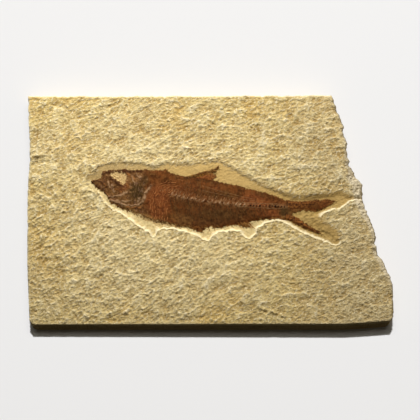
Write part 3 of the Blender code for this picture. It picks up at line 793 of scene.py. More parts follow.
def fish_fields(points):
    """The film's rise above the recess floor and the masks that colour it."""
    inset, side = loop_distance(points, FISH_COARSE)
    inset = np.maximum(inset, 0.0)
    rise = FISH_EDGE + FISH_BODY * ease(inset, 0.0, 1.0)
    rise += FISH_CROWN * (1.0 - np.exp(-np.maximum(inset - 0.8, 0.0) / 3.2))
    rise += wander(points, 2.4, 3.3) * 0.14 + wander(points, 0.8, 5.1) * 0.10
    masks = {tone: np.zeros(len(points)) for tone in ("dark", "pale", "orange")}
    shaken = points + np.column_stack([wander(points, 1.1, 1.9), wander(points, 1.1, 7.7)]) * 0.5
    for line, breadth, lift, tone in SKULL_LINES:
        away, _ = line_distance(shaken, line)
        profile = np.exp(-(away / breadth) ** 2)
        rise += lift * profile
        masks[tone] = np.maximum(masks[tone], profile)
    orbit, _ = loop_distance(points, smooth_loop(ORBIT, 0.4))
    bare = ease(orbit + wander(points, 0.7, 6.0) * 0.9 + wander(points, 0.3, 6.7) * 0.5, -0.2, 0.2)
    rise = rise * (1.0 - bare) + (0.16 + wander(points, 0.6, 9.0) * 0.2) * bare
    spine, along = line_distance(points, BACKBONE)
    rise += 0.12 * np.exp(-(spine / 0.8) ** 2)
    masks["spine"] = np.exp(-(spine / 1.1) ** 2) * (0.45 + 0.55 * ease(-along, -0.72, -0.55))
    masks["bare"] = bare
    low_side = ease(-outward(FISH_COARSE, 2)[side, 1], -0.2, 0.5)
    masks["edge"] = (1.0 - ease(inset, 0.05, 0.8)) * (1.0 - low_side)
    masks["fray"] = (1.0 - ease(inset + wander(points, 0.9, 4.4) * 0.9, 0.1, 0.7)) * low_side
    for name, patches in PIGMENT.items():
        masks[name] = patch_strength(points, patches)
    masks["skull"] = ease(-points[:, 0] + wander(points, 2.5, 2.8) * 2.0, 23.0, 26.0)
    trunk = ease(points[:, 0], -24.5, -22.5) * ease(-points[:, 0], -8.0, 12.0)
    masks["scaly"] = trunk * ease(inset, 0.5, 1.0)
    return rise, masks


def build_fish():
    """The film as one closed mesh: its upper side in relief, its lower side just under the stone."""
    count = len(FISH)
    low, high = FISH.min(axis=0), FISH.max(axis=0)
    spread = hex_points(low, high, FISH_PITCH, 8)
    inset, _ = loop_distance(spread, FISH[::2])
    spread = spread[inset > 0.1]
    spots = np.vstack([FISH, spread])
    top = triangles(FISH, spread)
    rise, masks = fish_fields(spots)
    base = floor_height(spots)
    upper = np.column_stack([spots, base + rise])
    lower = np.column_stack([FISH - outward(FISH) * 0.02, base[:count] - 0.15])
    below = triangles(FISH, np.empty((0, 2)))[:, ::-1] + len(spots)
    verts = np.vstack([upper, lower])
    faces = top.tolist() + rings_between(0, len(spots), count).tolist() + below.tolist()
    attributes = {name: np.concatenate([values, values[:count]]) for name, values in masks.items()}
    return solid("fossil_film", verts, faces, attributes)


# ================================================================ repeated bones
CHANCE = random.Random(5)


def strokes_mesh(name, strokes):
    """Loose lines, each from a root to a tip, with the place along it and its size."""
    verts, edges, along, sizes = [], [], [], []
    for line, size in strokes:
        line = np.array(line, float)
        first = len(verts)
        length = np.concatenate([[0.0], np.cumsum(np.linalg.norm(np.diff(line, axis=0), axis=1))])
        verts += [(x * MM, y * MM, 0.0) for x, y in line]
        edges += [(first + i, first + i + 1) for i in range(len(line) - 1)]
        along += list(length / length[-1])
        sizes += [size] * len(line)
    mesh = bpy.data.meshes.new(name)
    mesh.from_pydata(verts, edges, [])
    mesh.attributes.new("along", "FLOAT", "POINT").data.foreach_set("value", along)
    mesh.attributes.new("size", "FLOAT", "POINT").data.foreach_set("value", sizes)
    obj = bpy.data.objects.new(name, mesh)
    bpy.context.scene.collection.objects.link(obj)
    return obj


def bone_rods_tree():
    """Turns each stroke into a tapered bone, half sunk in the surface below it."""
    tree, given = modifier_tree("bone_rods", [
        ("Film", "Object"), ("Stone", "Object"), ("Root radius", "Float"), ("Tip radius", "Float"),
        ("Sink", "Float"), ("Step", "Float"), ("Material", "Material")])
    node = partial(add, tree)
    curves = node("GeometryNodeMeshToCurve", {"Mesh": given["Geometry"]})
    even = node("GeometryNodeResampleCurve", {"Curve": curves, "Length": given["Step"]}, mode="LENGTH")
    along = node("GeometryNodeInputNamedAttribute", {"Name": "along"}, data_type="FLOAT")
    size = node("GeometryNodeInputNamedAttribute", {"Name": "size"}, data_type="FLOAT")
    radius = node("ShaderNodeMix", {"Factor": along, "A": given["Root radius"], "B": given["Tip radius"]})
    radius = node("ShaderNodeMath", {0: radius, 1: size}, operation="MULTIPLY")
    ring = node("GeometryNodeCurvePrimitiveCircle", {"Resolution": 6, "Radius": 1.0}, mode="RADIUS")
    rods = node("GeometryNodeCurveToMesh", {
        "Curve": even, "Profile Curve": ring, "Scale": radius, "Fill Caps": True})
    dressed(tree, draped(tree, rods, (given["Film"], given["Stone"]), given["Sink"]), given["Material"])
    return tree


def jog(amount):
    """A chance amount, either way."""
    return CHANCE.uniform(-amount, amount)


def height_on(line, x):
    """A line's height at x."""
    return float(np.interp(x, *np.array(line).T))


def rib_strokes():
    """Ribs from the backbone down to the belly, every second one rooted lower."""
    strokes = []
    for index in range(RIBS):
        x = FIRST_RIB + index * RIB_PITCH + jog(0.2)
        y = height_on(BACKBONE, x)
        belly = 9.6 - 0.17 * index if x < 14 else 4.6
        reach = belly + jog(0.9)
        root = y - 0.7 - (jog(1.0) + 1.0 if index % 2 else 0.0)
        line = [(x, root), (x + 0.5 + jog(0.2), y - 0.55 * reach), (x + 1.5 + jog(0.4), y - reach)]
        strokes.append((line, 0.7 + jog(0.35)))
    return strokes


def spine_strokes():
    """A spine on each vertebra, leaning back and shorter towards the tail."""
    strokes = []
    for index in range(SPINES):
        x = FIRST_SPINE + index * VERTEBRA_PITCH
        y = height_on(BACKBONE, x)
        rise = 5.4 - 0.15 * index + jog(0.6)
        line = [(x, y + 0.5), (x + 0.3 * rise, y + 0.45 * rise), (x + 0.9 * rise, y + 0.9 * rise)]
        strokes.append((line, 0.75 + jog(0.3)))
    return strokes


def scale_row_strokes():
    """Rows of scale rims behind the gill: upright below the shoulder, bowed over it, broken in places."""
    strokes = []
    for row in range(SCALE_ROWS):
        radius = FIRST_ROW_RADIUS + ROW_PITCH * row
        bow = [(SHOULDER[0] - radius, SHOULDER[1] - 0.5 * step) for step in range(20, 0, -1)]
        bow += [(SHOULDER[0] - radius * math.cos(turn), SHOULDER[1] + 0.95 * radius * math.sin(turn))
                for turn in np.arange(0.0, 1.95, 0.5 / radius)]
        bow = np.array(bow)
        bow += np.column_stack([wander(bow, 2.0, 3.7), wander(bow, 2.0, 5.9)]) * 0.8
        inset, _ = loop_distance(bow, FISH_COARSE)
        bow = bow[(inset > 0.7) & (bow[:, 0] > GILL_EDGE)]
        place = 0
        while place < len(bow) - 3:
            reach = CHANCE.randint(3, 9)
            strokes.append((bow[place:place + reach].tolist(), 0.85 + jog(0.45)))
            place += reach + CHANCE.choice((0, 0, 1, 1, 4))
    return strokes


def dorsal_strokes():
    """Rods and rays of the dorsal fin, front to rear, from the back up to the fin's edge."""
    strokes = []
    marks = range(len(DORSAL_TIPS))
    for index in range(DORSAL_RAYS):
        share = index / (DORSAL_RAYS - 1)
        base = (-8.4 + 9.4 * share, 13.1 - 1.4 * share)
        tip = [float(np.interp(share * marks[-1], marks, tips)) for tips in np.array(DORSAL_TIPS).T]
        bend = ((base[0] + tip[0]) / 2, (base[1] + tip[1]) / 2 - 0.25)
        strokes.append(([base, bend, tip], 1.0 + jog(0.2)))
    return strokes


def tail_strokes():
    """Rays of the tail's two lobes, spreading from its root."""
    strokes = []
    for index in range(TAIL_RAYS):
        share = index / (TAIL_RAYS - 1)
        upper = [
            (32.4, 2.3 - 2.4 * share), (40.0, 2.5 - 2.7 * share),
            (50.2 - 10.5 * share ** 1.3, 2.7 - 3.7 * share)]
        lower = [
            (31.0 + 0.8 * share, -4.3 + 1.5 * share), (36.8, -6.5 + 2.1 * share),
            (44.6 - 7.6 * share, -10.6 + 5.0 * share)]
        strokes += [(upper, 1.0 + jog(0.2)), (lower, 1.0 + jog(0.2))]
    return strokes


def anal_ray_strokes():
    """Short rays under the rear of the body."""
    strokes = []
    for index in range(ANAL_RAYS):
        root = (FIRST_ANAL_RAY + ANAL_PITCH * index + jog(0.3), -6.4 - jog(0.5))
        fall = 1.6 + jog(0.9)
        tip = (root[0] + 0.9 * fall + jog(0.4), root[1] - fall)
        middle = ((root[0] + tip[0]) / 2 - 0.2, (root[1] + tip[1]) / 2 + jog(0.2))
        strokes.append(([root, middle, tip], 1.0 + jog(0.4)))
    return strokes


def pelvic_strokes():
    """Rays of the small fin in the middle of the belly."""
    strokes = []
    for index in range(PELVIC_RAYS):
        root = (-6.4 + 0.7 * index, -7.6)
        tip = (-4.4 + 0.5 * index + jog(0.3), -9.2 + 0.1 * index + jog(0.4))
        strokes.append(([root, tip], 0.9))
    return strokes


def scute_strokes():
    """Hooked scutes along the keel."""
    strokes = []
    for index in range(SCUTES):
        x = FIRST_SCUTE + index * SCUTE_PITCH
        y = height_on(KEEL, x)
        strokes.append(([(x, y + 0.9), (x + 0.9, y + jog(0.2)), (x + 1.6, y - 0.4 + jog(0.3))], 1.0))
    return strokes


def throat_hair_strokes():
    """Hair-fine splinters below the throat, longest in the middle."""
    strokes = []
    for index in range(THROAT_HAIRS):
        x = FIRST_HAIR + index * HAIR_PITCH + jog(0.35)
        y = height_on(KEEL, x) + 0.5
        fall = (3.0 if -28.5 < x < -19.5 else 1.9) + jog(0.8)
        lean = 1.2 + jog(0.9)
        line = [(x, y), (x + 0.35 * fall * lean, y - 0.6 * fall), (x + 1.1 * fall * lean, y - 0.85 * fall)]
        strokes.append((line, 1.1 + jog(0.4)))
    return strokes


def fringe_strokes():
    """Splinters all round the film, longer and further apart where the belly is frayed."""
    strokes = []
    edge = outward(FISH, 4)
    place = 0.0
    while place < len(FISH):
        root, way, frayed = FISH[int(place)], edge[int(place)], FISH_FRAYED[int(place)]
        out = way + np.array([0.8, 0.0])
        reach = CHANCE.uniform(0.25, 0.75 + 0.75 * frayed)
        strokes.append(([tuple(root - 0.5 * way), tuple(root + reach * out)], 0.9 + jog(0.4)))
        place += CHANCE.uniform(2.0, 6.0) * (1.0 + 0.7 * frayed)
    return strokes


def sheath_strokes():
    """Thin bones beside the backbone: a pair along its rear, two lines above it, and splints that lean."""
    strokes = []
    for lift in (0.95, -0.95):
        line = [(x, height_on(BACKBONE, x) + lift + jog(0.12)) for x in np.arange(12.0, 32.0, 2.0)]
        strokes.append((line, 1.0))
    for lift in (5.2, 7.4):
        line = [(x, height_on(BACKBONE, x) + lift * (1.0 - 0.022 * (x + 10.0)) + jog(0.1))
                for x in np.arange(-2.0, 22.0, 2.0)]
        strokes.append((line, 0.6))
    for index in range(SPLINTS):
        x = FIRST_SPLINT + SPLINT_PITCH * index + jog(0.4)
        y = height_on(BACKBONE, x) + 1.1 + jog(0.3)
        strokes.append(([(x, y), (x + 0.7, y + 1.2 + jog(0.3))], 0.8 + jog(0.3)))
    return strokes


def fish_strokes():
    """Every kind of bone as strokes from root to tip. They share one run of chance, so their order counts."""
    ribs, spines, scale_rows = rib_strokes(), spine_strokes(), scale_row_strokes()
    dorsal, tail, anal_rays, pelvic = dorsal_strokes(), tail_strokes(), anal_ray_strokes(), pelvic_strokes()
    scutes, throat_hairs, fringe, sheaths = (
        scute_strokes(), throat_hair_strokes(), fringe_strokes(), sheath_strokes())
    return {
        "ribs": ribs, "spines": spines, "scale_rows": scale_rows, "fin_rays": tail + pelvic,
        "dorsal_front": dorsal[:DORSAL_RODS], "dorsal_rear": dorsal[DORSAL_RODS:], "anal_rays": anal_rays,
        "scutes": scutes, "fringe": fringe, "throat_hairs": throat_hairs, "sheaths": sheaths,
    }


def vertebrae_tree():
    """Beads of bone along a line, leaning, sunk in the film."""
    tree, given = modifier_tree("vertebrae", [
        ("Film", "Object"), ("Stone", "Object"), ("Pitch", "Float"), ("Length", "Float"), ("Height", "Float"),
        ("Lean", "Float"), ("Sink", "Float"), ("Seed", "Int"), ("Material", "Material")])
    node = partial(add, tree)
    curve = node("GeometryNodeMeshToCurve", {"Mesh": given["Geometry"]})
    dots = node("GeometryNodeCurveToPoints", {"Curve": curve, "Length": given["Pitch"]}, mode="LENGTH")
    bead = node("GeometryNodeMeshUVSphere", {"Segments": 10, "Rings": 6, "Radius": 0.5})
    shape = node("ShaderNodeCombineXYZ", {"X": given["Length"], "Y": given["Height"], "Z": given["Length"]})
    sized = node("GeometryNodeTransform", {"Geometry": bead, "Scale": shape})
    turn = node("ShaderNodeCombineXYZ", {"Z": given["Lean"]})
    worn = node("FunctionNodeRandomValue", {
        "Min": 0.6, "Max": 1.15, "Seed": given["Seed"]}, data_type="FLOAT")
    beads = node("GeometryNodeInstanceOnPoints", {
        "Points": dots, "Instance": sized, "Rotation": turn, "Scale": worn})
    whole = node("GeometryNodeRealizeInstances", {"Geometry": beads})
    dressed(tree, draped(tree, whole, (given["Film"], given["Stone"]), given["Sink"]), given["Material"])
    return tree


def scales_tree():
    """Staggered rows of thin crescents, the rear rims of scales, where the film is marked scaly."""
    tree, given = modifier_tree("scale_rims", [
        ("Film", "Object"), ("Stone", "Object"), ("Left", "Float"), ("Bottom", "Float"), ("Across", "Float"),
        ("Down", "Float"), ("Fall", "Float"), ("Columns", "Int"), ("Rows", "Int"), ("Radius", "Float"),
        ("Rim", "Float"), ("Scatter", "Float"), ("Sink", "Float"), ("Kept", "Float"), ("Seed", "Int"),
        ("Material", "Material")])
    node = partial(add, tree)
    draws = {}
    for number, (name, low, high) in enumerate((
            ("slip", -0.5, 0.5), ("drop", -0.5, 0.5), ("tint", 0.0, 1.0), ("lost", 0.0, 1.0),
            ("wide", 0.7, 1.15), ("deep", 0.7, 1.15))):
        seed = node("ShaderNodeMath", {0: given["Seed"], 1: number})
        draws[name] = node("FunctionNodeRandomValue", {
            "Min": low, "Max": high, "Seed": seed}, data_type="FLOAT")

    # rows and columns, every second row half a scale along, each scale a little out of place
    count = node("ShaderNodeMath", {0: given["Columns"], 1: given["Rows"]}, operation="MULTIPLY")
    points = node("GeometryNodePoints", {"Count": count})
    index = node("ShaderNodeMath", {0: node("GeometryNodeInputIndex"), 1: 0.5})
    row = node("ShaderNodeMath", {0: index, 1: given["Columns"]}, operation="DIVIDE")
    row = node("ShaderNodeMath", {0: row}, operation="FLOOR")
    column = node("ShaderNodeMath", {0: index, 1: given["Columns"]}, operation="MODULO")
    half = node("ShaderNodeMath", {0: row, 1: 2.0}, operation="MODULO")
    column = node("ShaderNodeMath", {0: half, 1: 0.5, 2: column}, operation="MULTIPLY_ADD")
    x = node("ShaderNodeMath", {0: column, 1: given["Across"], 2: given["Left"]}, operation="MULTIPLY_ADD")
    x = node("ShaderNodeMath", {0: draws["slip"], 1: given["Scatter"], 2: x}, operation="MULTIPLY_ADD")
    run = node("ShaderNodeMath", {0: x, 1: given["Left"]}, operation="SUBTRACT")
    y = node("ShaderNodeMath", {0: row, 1: given["Down"], 2: given["Bottom"]}, operation="MULTIPLY_ADD")
    y = node("ShaderNodeMath", {0: run, 1: given["Fall"], 2: y}, operation="MULTIPLY_ADD")
    y = node("ShaderNodeMath", {0: draws["drop"], 1: given["Scatter"], 2: y}, operation="MULTIPLY_ADD")
    spot = node("ShaderNodeCombineXYZ", {"X": x, "Y": y})
    placed = node("GeometryNodeSetPosition", {"Geometry": points, "Position": spot})
    tinted = node("GeometryNodeStoreNamedAttribute", {
        "Geometry": placed, "Name": "tint", "Value": draws["tint"]}, data_type="FLOAT", domain="POINT")

    # scales stay only where the film below is marked scaly, and some of those are lost
    info = node("GeometryNodeObjectInfo", {"Object": given["Film"]}, transform_space="RELATIVE")
    above = node("ShaderNodeVectorMath", {0: node("GeometryNodeInputPosition"), 1: (0.0, 0.0, 0.05)})
    scaly = node("GeometryNodeInputNamedAttribute", {"Name": "scaly"}, data_type="FLOAT")
    ray = node("GeometryNodeRaycast", {
        "Target Geometry": info.outputs["Geometry"], "Attribute": scaly, "Source Position": above,
        "Ray Direction": (0.0, 0.0, -1.0), "Ray Length": 0.2}, data_type="FLOAT")
    wanted = node("ShaderNodeMath", {0: ray.outputs["Attribute"], 1: given["Kept"]}, operation="MULTIPLY")
    missing = node("ShaderNodeMath", {0: draws["lost"], 1: wanted}, operation="GREATER_THAN")
    kept = node("GeometryNodeDeleteGeometry", {"Geometry": tinted, "Selection": missing}, domain="POINT")

    # a scale's rim: a short arc with a square section
    arc = node("GeometryNodeCurveArc", {
        "Resolution": 7, "Radius": given["Radius"], "Start Angle": math.radians(-62),
        "Sweep Angle": math.radians(124)}, mode="RADIUS")
    ring = node("GeometryNodeCurvePrimitiveCircle", {"Resolution": 4, "Radius": given["Rim"]}, mode="RADIUS")
    rim = node("GeometryNodeCurveToMesh", {"Curve": arc, "Profile Curve": ring, "Fill Caps": True})
    size = node("ShaderNodeCombineXYZ", {"X": draws["wide"], "Y": draws["deep"], "Z": 1.0})
    laid = node("GeometryNodeInstanceOnPoints", {"Points": kept, "Instance": rim, "Scale": size})
    whole = node("GeometryNodeRealizeInstances", {"Geometry": laid})
    dressed(tree, draped(tree, whole, (given["Film"], given["Stone"]), given["Sink"]), given["Material"])
    return tree


# ================================================================ materials
def new_material(name, marks=()):
    """A material, its tree, its shader, object coordinates in millimetres and the mesh's named marks."""
    material = bpy.data.materials.new(name)
    material.use_nodes = True
    tree = material.node_tree
    coords = add(tree, "ShaderNodeTexCoord").outputs["Object"]
    in_mm = add(tree, "ShaderNodeVectorMath", {0: coords, "Scale": 1 / MM}, operation="SCALE")
    marked = {mark: add(tree, "ShaderNodeAttribute", attribute_name=mark).outputs["Fac"] for mark in marks}
    return material, tree, tree.nodes["Principled BSDF"], in_mm, marked


def stained(tree, ground, stains):
    """Stain laid over stain: each a colour, its strength, and the patterns that all have to allow it."""
    colour = linear(ground)
    for code, strength, patterns in stains:
        share = strength
        for pattern, low, high in patterns:
            share = add(tree, "ShaderNodeMapRange", {
                "Value": pattern, "From Min": low, "From Max": high, "To Max": share})
        colour = add(tree, "ShaderNodeMix", {
            "Factor": share, "A": colour, "B": linear(code)}, data_type="RGBA")
    return colour


def pecked_limestone():
    """Fine lake limestone, pecked with a needle. Chalky and quite matt: buff, with honey-coloured iron stain
    in wide clouds, painted highlight in cream on every crest and painted shade in deeper ochre in the
    hollows."""
    material, tree, shader, in_mm, marked = new_material(
        "needle_pecked_limestone", ("hollow", "rim", "low", "bevel", "arris", "torn", "side"))
    node = partial(add, tree)
    clouds = node("ShaderNodeTexNoise", {"Vector": in_mm, "Scale": 1 / 26, "Detail": 3.0})
    honey = node("ShaderNodeTexNoise", {"Vector": in_mm, "Scale": 1 / 14, "Detail": 2.0})
    blotches = node("ShaderNodeTexNoise", {"Vector": in_mm, "Scale": 1 / 9, "Detail": 4.0, "Roughness": 0.6})
    grime = node("ShaderNodeTexNoise", {"Vector": in_mm, "Scale": 1 / 0.9, "Detail": 3.0, "Roughness": 0.7})
    thin = node("ShaderNodeVectorMath", {0: in_mm, 1: (0.02, 0.02, 1.0)}, operation="MULTIPLY")
    beds = node("ShaderNodeTexNoise", {"Vector": thin, "Scale": 1 / 0.9, "Detail": 2.0})
    spot = node("ShaderNodeSeparateXYZ", {0: in_mm})
    across, along, level = spot.outputs["X"], spot.outputs["Y"], spot.outputs["Z"]
    # the real grain is about 0.02 mm: these finest chips are as coarse as they need to be to show
    fine_chips = chipped(tree, in_mm, 0.95, 1.45, math.radians(22), 2.0)
    pricks = chipped(tree, in_mm, 0.55, 1.3, math.radians(8), 6.0)
    hollow, rim, low, bevel, arris, torn, side = marked.values()
    colour = stained(tree, "#dbc78d", [
        # the bed's own stain in clouds, a painted pool of light that makes the plate's middle paler, and
        # greyer towards the break
        ("#ddc683", 1.0, [(clouds, 0.40, 0.62)]),
        ("#d1bd8d", 0.5, [(blotches, 0.50, 0.72)]),
        ("#ddb865", 0.55, [(honey, 0.54, 0.70)]),
        ("#c6ad71", 0.35, [(grime, 0.35, 0.70)]),
        # painted pool of light: paler over the plate's middle, fading out towards its edges
        ("#f8e5ac", 0.7, [
            (along, 46.0, 18.0), (along, -48.0, -26.0), (across, 45.0, 10.0), (across, -75.0, -38.0)]),
        ("#cdbf9b", 0.5, [(across, 26.0, 60.0)]),
        # painted shade in ochre in the chips' hollows, deeper on the side beyond the fish's back, and painted
        # highlight in cream on their crests
        ("#ab8740", 0.6, [(hollow, 0.0, -0.35)]),
        ("#a47f3a", 0.4, [(hollow, -0.05, -0.40), (along, -15.0, 30.0)]),
        ("#f8edc8", 0.75, [(hollow, 0.05, 0.36)]),
        # the recess's smooth floor: greyer before the head and behind the tail, darker and browner from
        # mid-body to the tail, and a painted shadow line at its rim above the fish's back
        ("#c4a05a", 0.8, [(rim, 0.1, 0.9)]),
        ("#b39b6a", 0.6, [(rim, -0.1, 0.6), (across, -18.0, -32.0), (low, 0.6, 0.2)]),
        ("#a58b58", 0.5, [(rim, -0.3, 0.2), (across, -42.0, -46.0)]),
        ("#a68c53", 0.45, [(rim, 0.1, 0.9), (across, 12.0, 40.0), (across, 64.0, 50.0)]),
        ("#a29568", 0.5, [(rim, 0.1, 0.9), (across, 57.0, 63.0)]),
        # painted shadow: a dark line along the rim above the fish's back, where the wall faces away from the
        # raking panel
        ("#8a7040", 0.5, [(rim, -0.9, -0.2), (rim, 1.2, 0.4), (low, 0.6, 0.2), (across, 60.0, 40.0)]),
        # the strip below the belly: painted light in cream, where it faces the raking panel, with flecks of
        # bone
        ("#eed99e", 0.8, [(low, 0.2, 0.9), (rim, 0.0, 0.5), (across, 34.0, 24.0)]),
        ("#bd8c4c", 0.5, [(low, 0.2, 0.9), (rim, 0.5, 1.2), (across, 30.0, 22.0), (grime, 0.54, 0.66)]),
        # painted shade and painted highlight that follow the bump's finest chips; painted highlight on the
        # bevel and the arris; the torn laminae paler, partly fresh stone and partly painted light
        # painted shade where the finest chips sink, painted highlight where they rise
        ("#a88a50", 0.22, [(fine_chips, -0.05, -0.35), (rim, 2.0, -0.2)]),
        ("#fff2cc", 0.75, [(fine_chips, 0.06, 0.38), (rim, 2.0, -0.2)]),
        # painted highlight on the bevel below the belly, which faces the raking panel
        ("#f9edc4", 0.85, [(bevel, 0.1, 0.7), (grime, 0.72, 0.46)]),
        # painted highlight along the worn arris of the sawn edges
        ("#f6e7ba", 0.7, [(arris, 0.2, 1.0)]),
        # torn laminae: paler fresh stone, and painted light where they fall away from the raking panel
        ("#e4d9bd", 0.7, [(torn, 0.0, 1.0)]),
        ("#8f7b58", 0.4, [(torn, 0.0, 0.8), (grime, 0.50, 0.62)]),
        # the sides, darker than the face partly as painted shade, banded along the beds
        ("#b59b65", 1.0, [(side, 0.0, 1.0)]),
        ("#cbb47d", 1.0, [(side, 0.0, 1.0), (beds, 0.40, 0.65)]),
        ("#857044", 0.5, [(side, 0.0, 1.0), (blotches, 0.50, 0.72)]),
        ("#efe0b4", 0.75, [(side, 0.0, 1.0), (level, 6.0, 8.8)]),
    ])
    grain = node("ShaderNodeMix", {"Factor": 0.4, "A": fine_chips, "B": pricks})
    keen = node("ShaderNodeMapRange", {
        "Value": rim, "From Min": -0.2, "From Max": 0.4, "To Min": 1.0, "To Max": 0.7})
    bump = node("ShaderNodeBump", {"Strength": keen, "Distance": 0.35 * MM, "Height": grain})
    feed(tree, shader, {
        "Base Color": colour, "Normal": bump, "Roughness": 0.95, "IOR": 1.57, "Specular IOR Level": 0.1})
    return material


def pressed_film():
    """Skin, scale and bone pressed flat and turned to brown phosphate, laid bare by splitting. Dense
    and dull: dark umber with rusty iron bloom, streaked upright where ribs and scales lie under it."""
    material, tree, shader, in_mm, marked = new_material("pressed_fossil_film", (
        "rust", "umber", "moss", "tan", "skull", "dark", "pale", "orange", "spine", "edge", "fray", "bare"))
    node = partial(add, tree)
    # scales and ribs of the real film are 0.3 to 1.5 mm broad, and the noises follow those sizes
    upright = node("ShaderNodeVectorMath", {0: in_mm, 1: (1.0, 0.32, 1.0)}, operation="MULTIPLY")
    streaks = node("ShaderNodeTexNoise", {
        "Vector": upright, "Scale": 1 / 0.9, "Detail": 3.0, "Roughness": 0.6})
    flecks = node("ShaderNodeTexNoise", {"Vector": in_mm, "Scale": 1 / 1.2, "Detail": 3.0, "Roughness": 0.6})
    specks = node("ShaderNodeTexNoise", {"Vector": in_mm, "Scale": 1 / 0.45, "Detail": 2.0, "Roughness": 0.6})
    mottles = node("ShaderNodeTexNoise", {"Vector": in_mm, "Scale": 1 / 3.0, "Detail": 4.0, "Roughness": 0.6})
    rust, umber, moss, tan, skull, dark, pale, orange, spine, edge, fray, bare = marked.values()
    colour = stained(tree, "#522f11", [
        # broad patches of pigment over an umber ground
        ("#6c3e1a", 1.0, [(mottles, 0.42, 0.58)]),
        ("#694827", 0.7, [(skull, 0.0, 1.0)]),
        ("#794321", 1.0, [(rust, 0.0, 1.0)]),
        ("#543519", 1.0, [(umber, 0.0, 1.0)]),
        ("#473519", 1.0, [(moss, 0.0, 1.0)]),
        ("#976e3c", 1.0, [(tan, 0.0, 1.0)]),
        # streaks, flecks and specks within them
        ("#a06030", 0.6, [(streaks, 0.48, 0.66), (rust, -0.3, 1.0), (mottles, 0.34, 0.54)]),
        ("#966c3c", 0.4, [(flecks, 0.52, 0.68), (mottles, 0.60, 0.40)]),
        ("#31190b", 0.5, [(flecks, 0.47, 0.34)]),
        ("#331b0a", 0.35, [(streaks, 0.46, 0.34)]),
        ("#a37a4e", 0.4, [(skull, 0.0, 1.0), (flecks, 0.52, 0.66)]),
        ("#8d715c", 0.4, [(skull, 0.0, 1.0), (streaks, 0.55, 0.66)]),
        ("#2d190a", 0.6, [(skull, 0.0, 1.0), (specks, 0.47, 0.35)]),
        ("#4d2c10", 0.6, [(umber, 0.0, 1.0), (skull, 0.0, 1.0)]),
        # the outline, single bones of the skull, the backbone's band and the stone bared in the orbit
        ("#3d200d", 0.5, [(edge, 0.0, 1.0)]),
        ("#ab7840", 0.7, [(fray, 0.0, 1.0), (flecks, 0.40, 0.60)]),
        ("#361d0e", 0.8, [(dark, 0.0, 1.0)]),
        ("#9f6634", 0.7, [(orange, 0.0, 1.0), (flecks, 0.34, 0.54)]),
        ("#ae8c66", 0.85, [(pale, 0.0, 1.0), (flecks, 0.34, 0.54)]),
        ("#9b7650", 0.75, [(spine, 0.0, 1.0), (flecks, 0.42, 0.58)]),
        ("#d0b279", 1.0, [(bare, 0.0, 1.0)]),
        ("#987246", 0.8, [(bare, 0.0, 1.0), (specks, 0.52, 0.38)]),
    ])
    grain = node("ShaderNodeMix", {"Factor": 0.5, "A": streaks, "B": flecks})
    bump = node("ShaderNodeBump", {"Strength": 1.0, "Distance": 0.34 * MM, "Height": grain})
    feed(tree, shader, {
        "Base Color": colour, "Normal": bump, "Roughness": 0.8, "IOR": 1.63, "Specular IOR Level": 0.03})
    return material


def solid_bone(name, shaded, lit):
    """Solid bone turned to phosphate, laid bare by needle: harder and a shade paler than the film,
    cloudy along its length, with a dull sheen."""
    material, tree, shader, in_mm, _ = new_material(name)
    clouds = add(tree, "ShaderNodeTexNoise", {
        "Vector": in_mm, "Scale": 1 / 0.8, "Detail": 3.0, "Roughness": 0.6})
    colour = stained(tree, shaded, [(lit, 1.0, [(clouds, 0.38, 0.58)])])
    bump = add(tree, "ShaderNodeBump", {"Strength": 0.6, "Distance": 0.1 * MM, "Height": clouds})
    feed(tree, shader, {
        "Base Color": colour, "Normal": bump, "Roughness": 0.7, "IOR": 1.63, "Specular IOR Level": 0.06})
    return material


def scale_bone():
    """Thin bony scales seen by their raised rims, left by splitting: rusty on the front of the trunk,
    umber further back, no two quite alike."""
    material, tree, shader, in_mm, marked = new_material("thin_fossil_scale", ("tint",))
    across = add(tree, "ShaderNodeSeparateXYZ", {0: in_mm}).outputs["X"]
    colour = stained(tree, "#5c2f10", [
        ("#b0703a", 1.0, [(marked["tint"], 0.0, 1.0)]),
        ("#442810", 1.0, [(across, -20.0, -6.0)]),
        ("#694722", 1.0, [(across, -20.0, -6.0), (marked["tint"], 0.0, 1.0)]),
    ])
    feed(tree, shader, {"Base Color": colour, "Roughness": 0.7, "IOR": 1.63, "Specular IOR Level": 0.06})
    return material


def white_card():
    """Rolled white card: even, matt and without a join, so that it shows only soft shade."""
    material, tree, shader, _, _ = new_material("matt_white_card")
    feed(tree, shader, {"Base Color": linear("#ededec"), "Roughness": 0.9, "Specular IOR Level": 0.1})
    return material


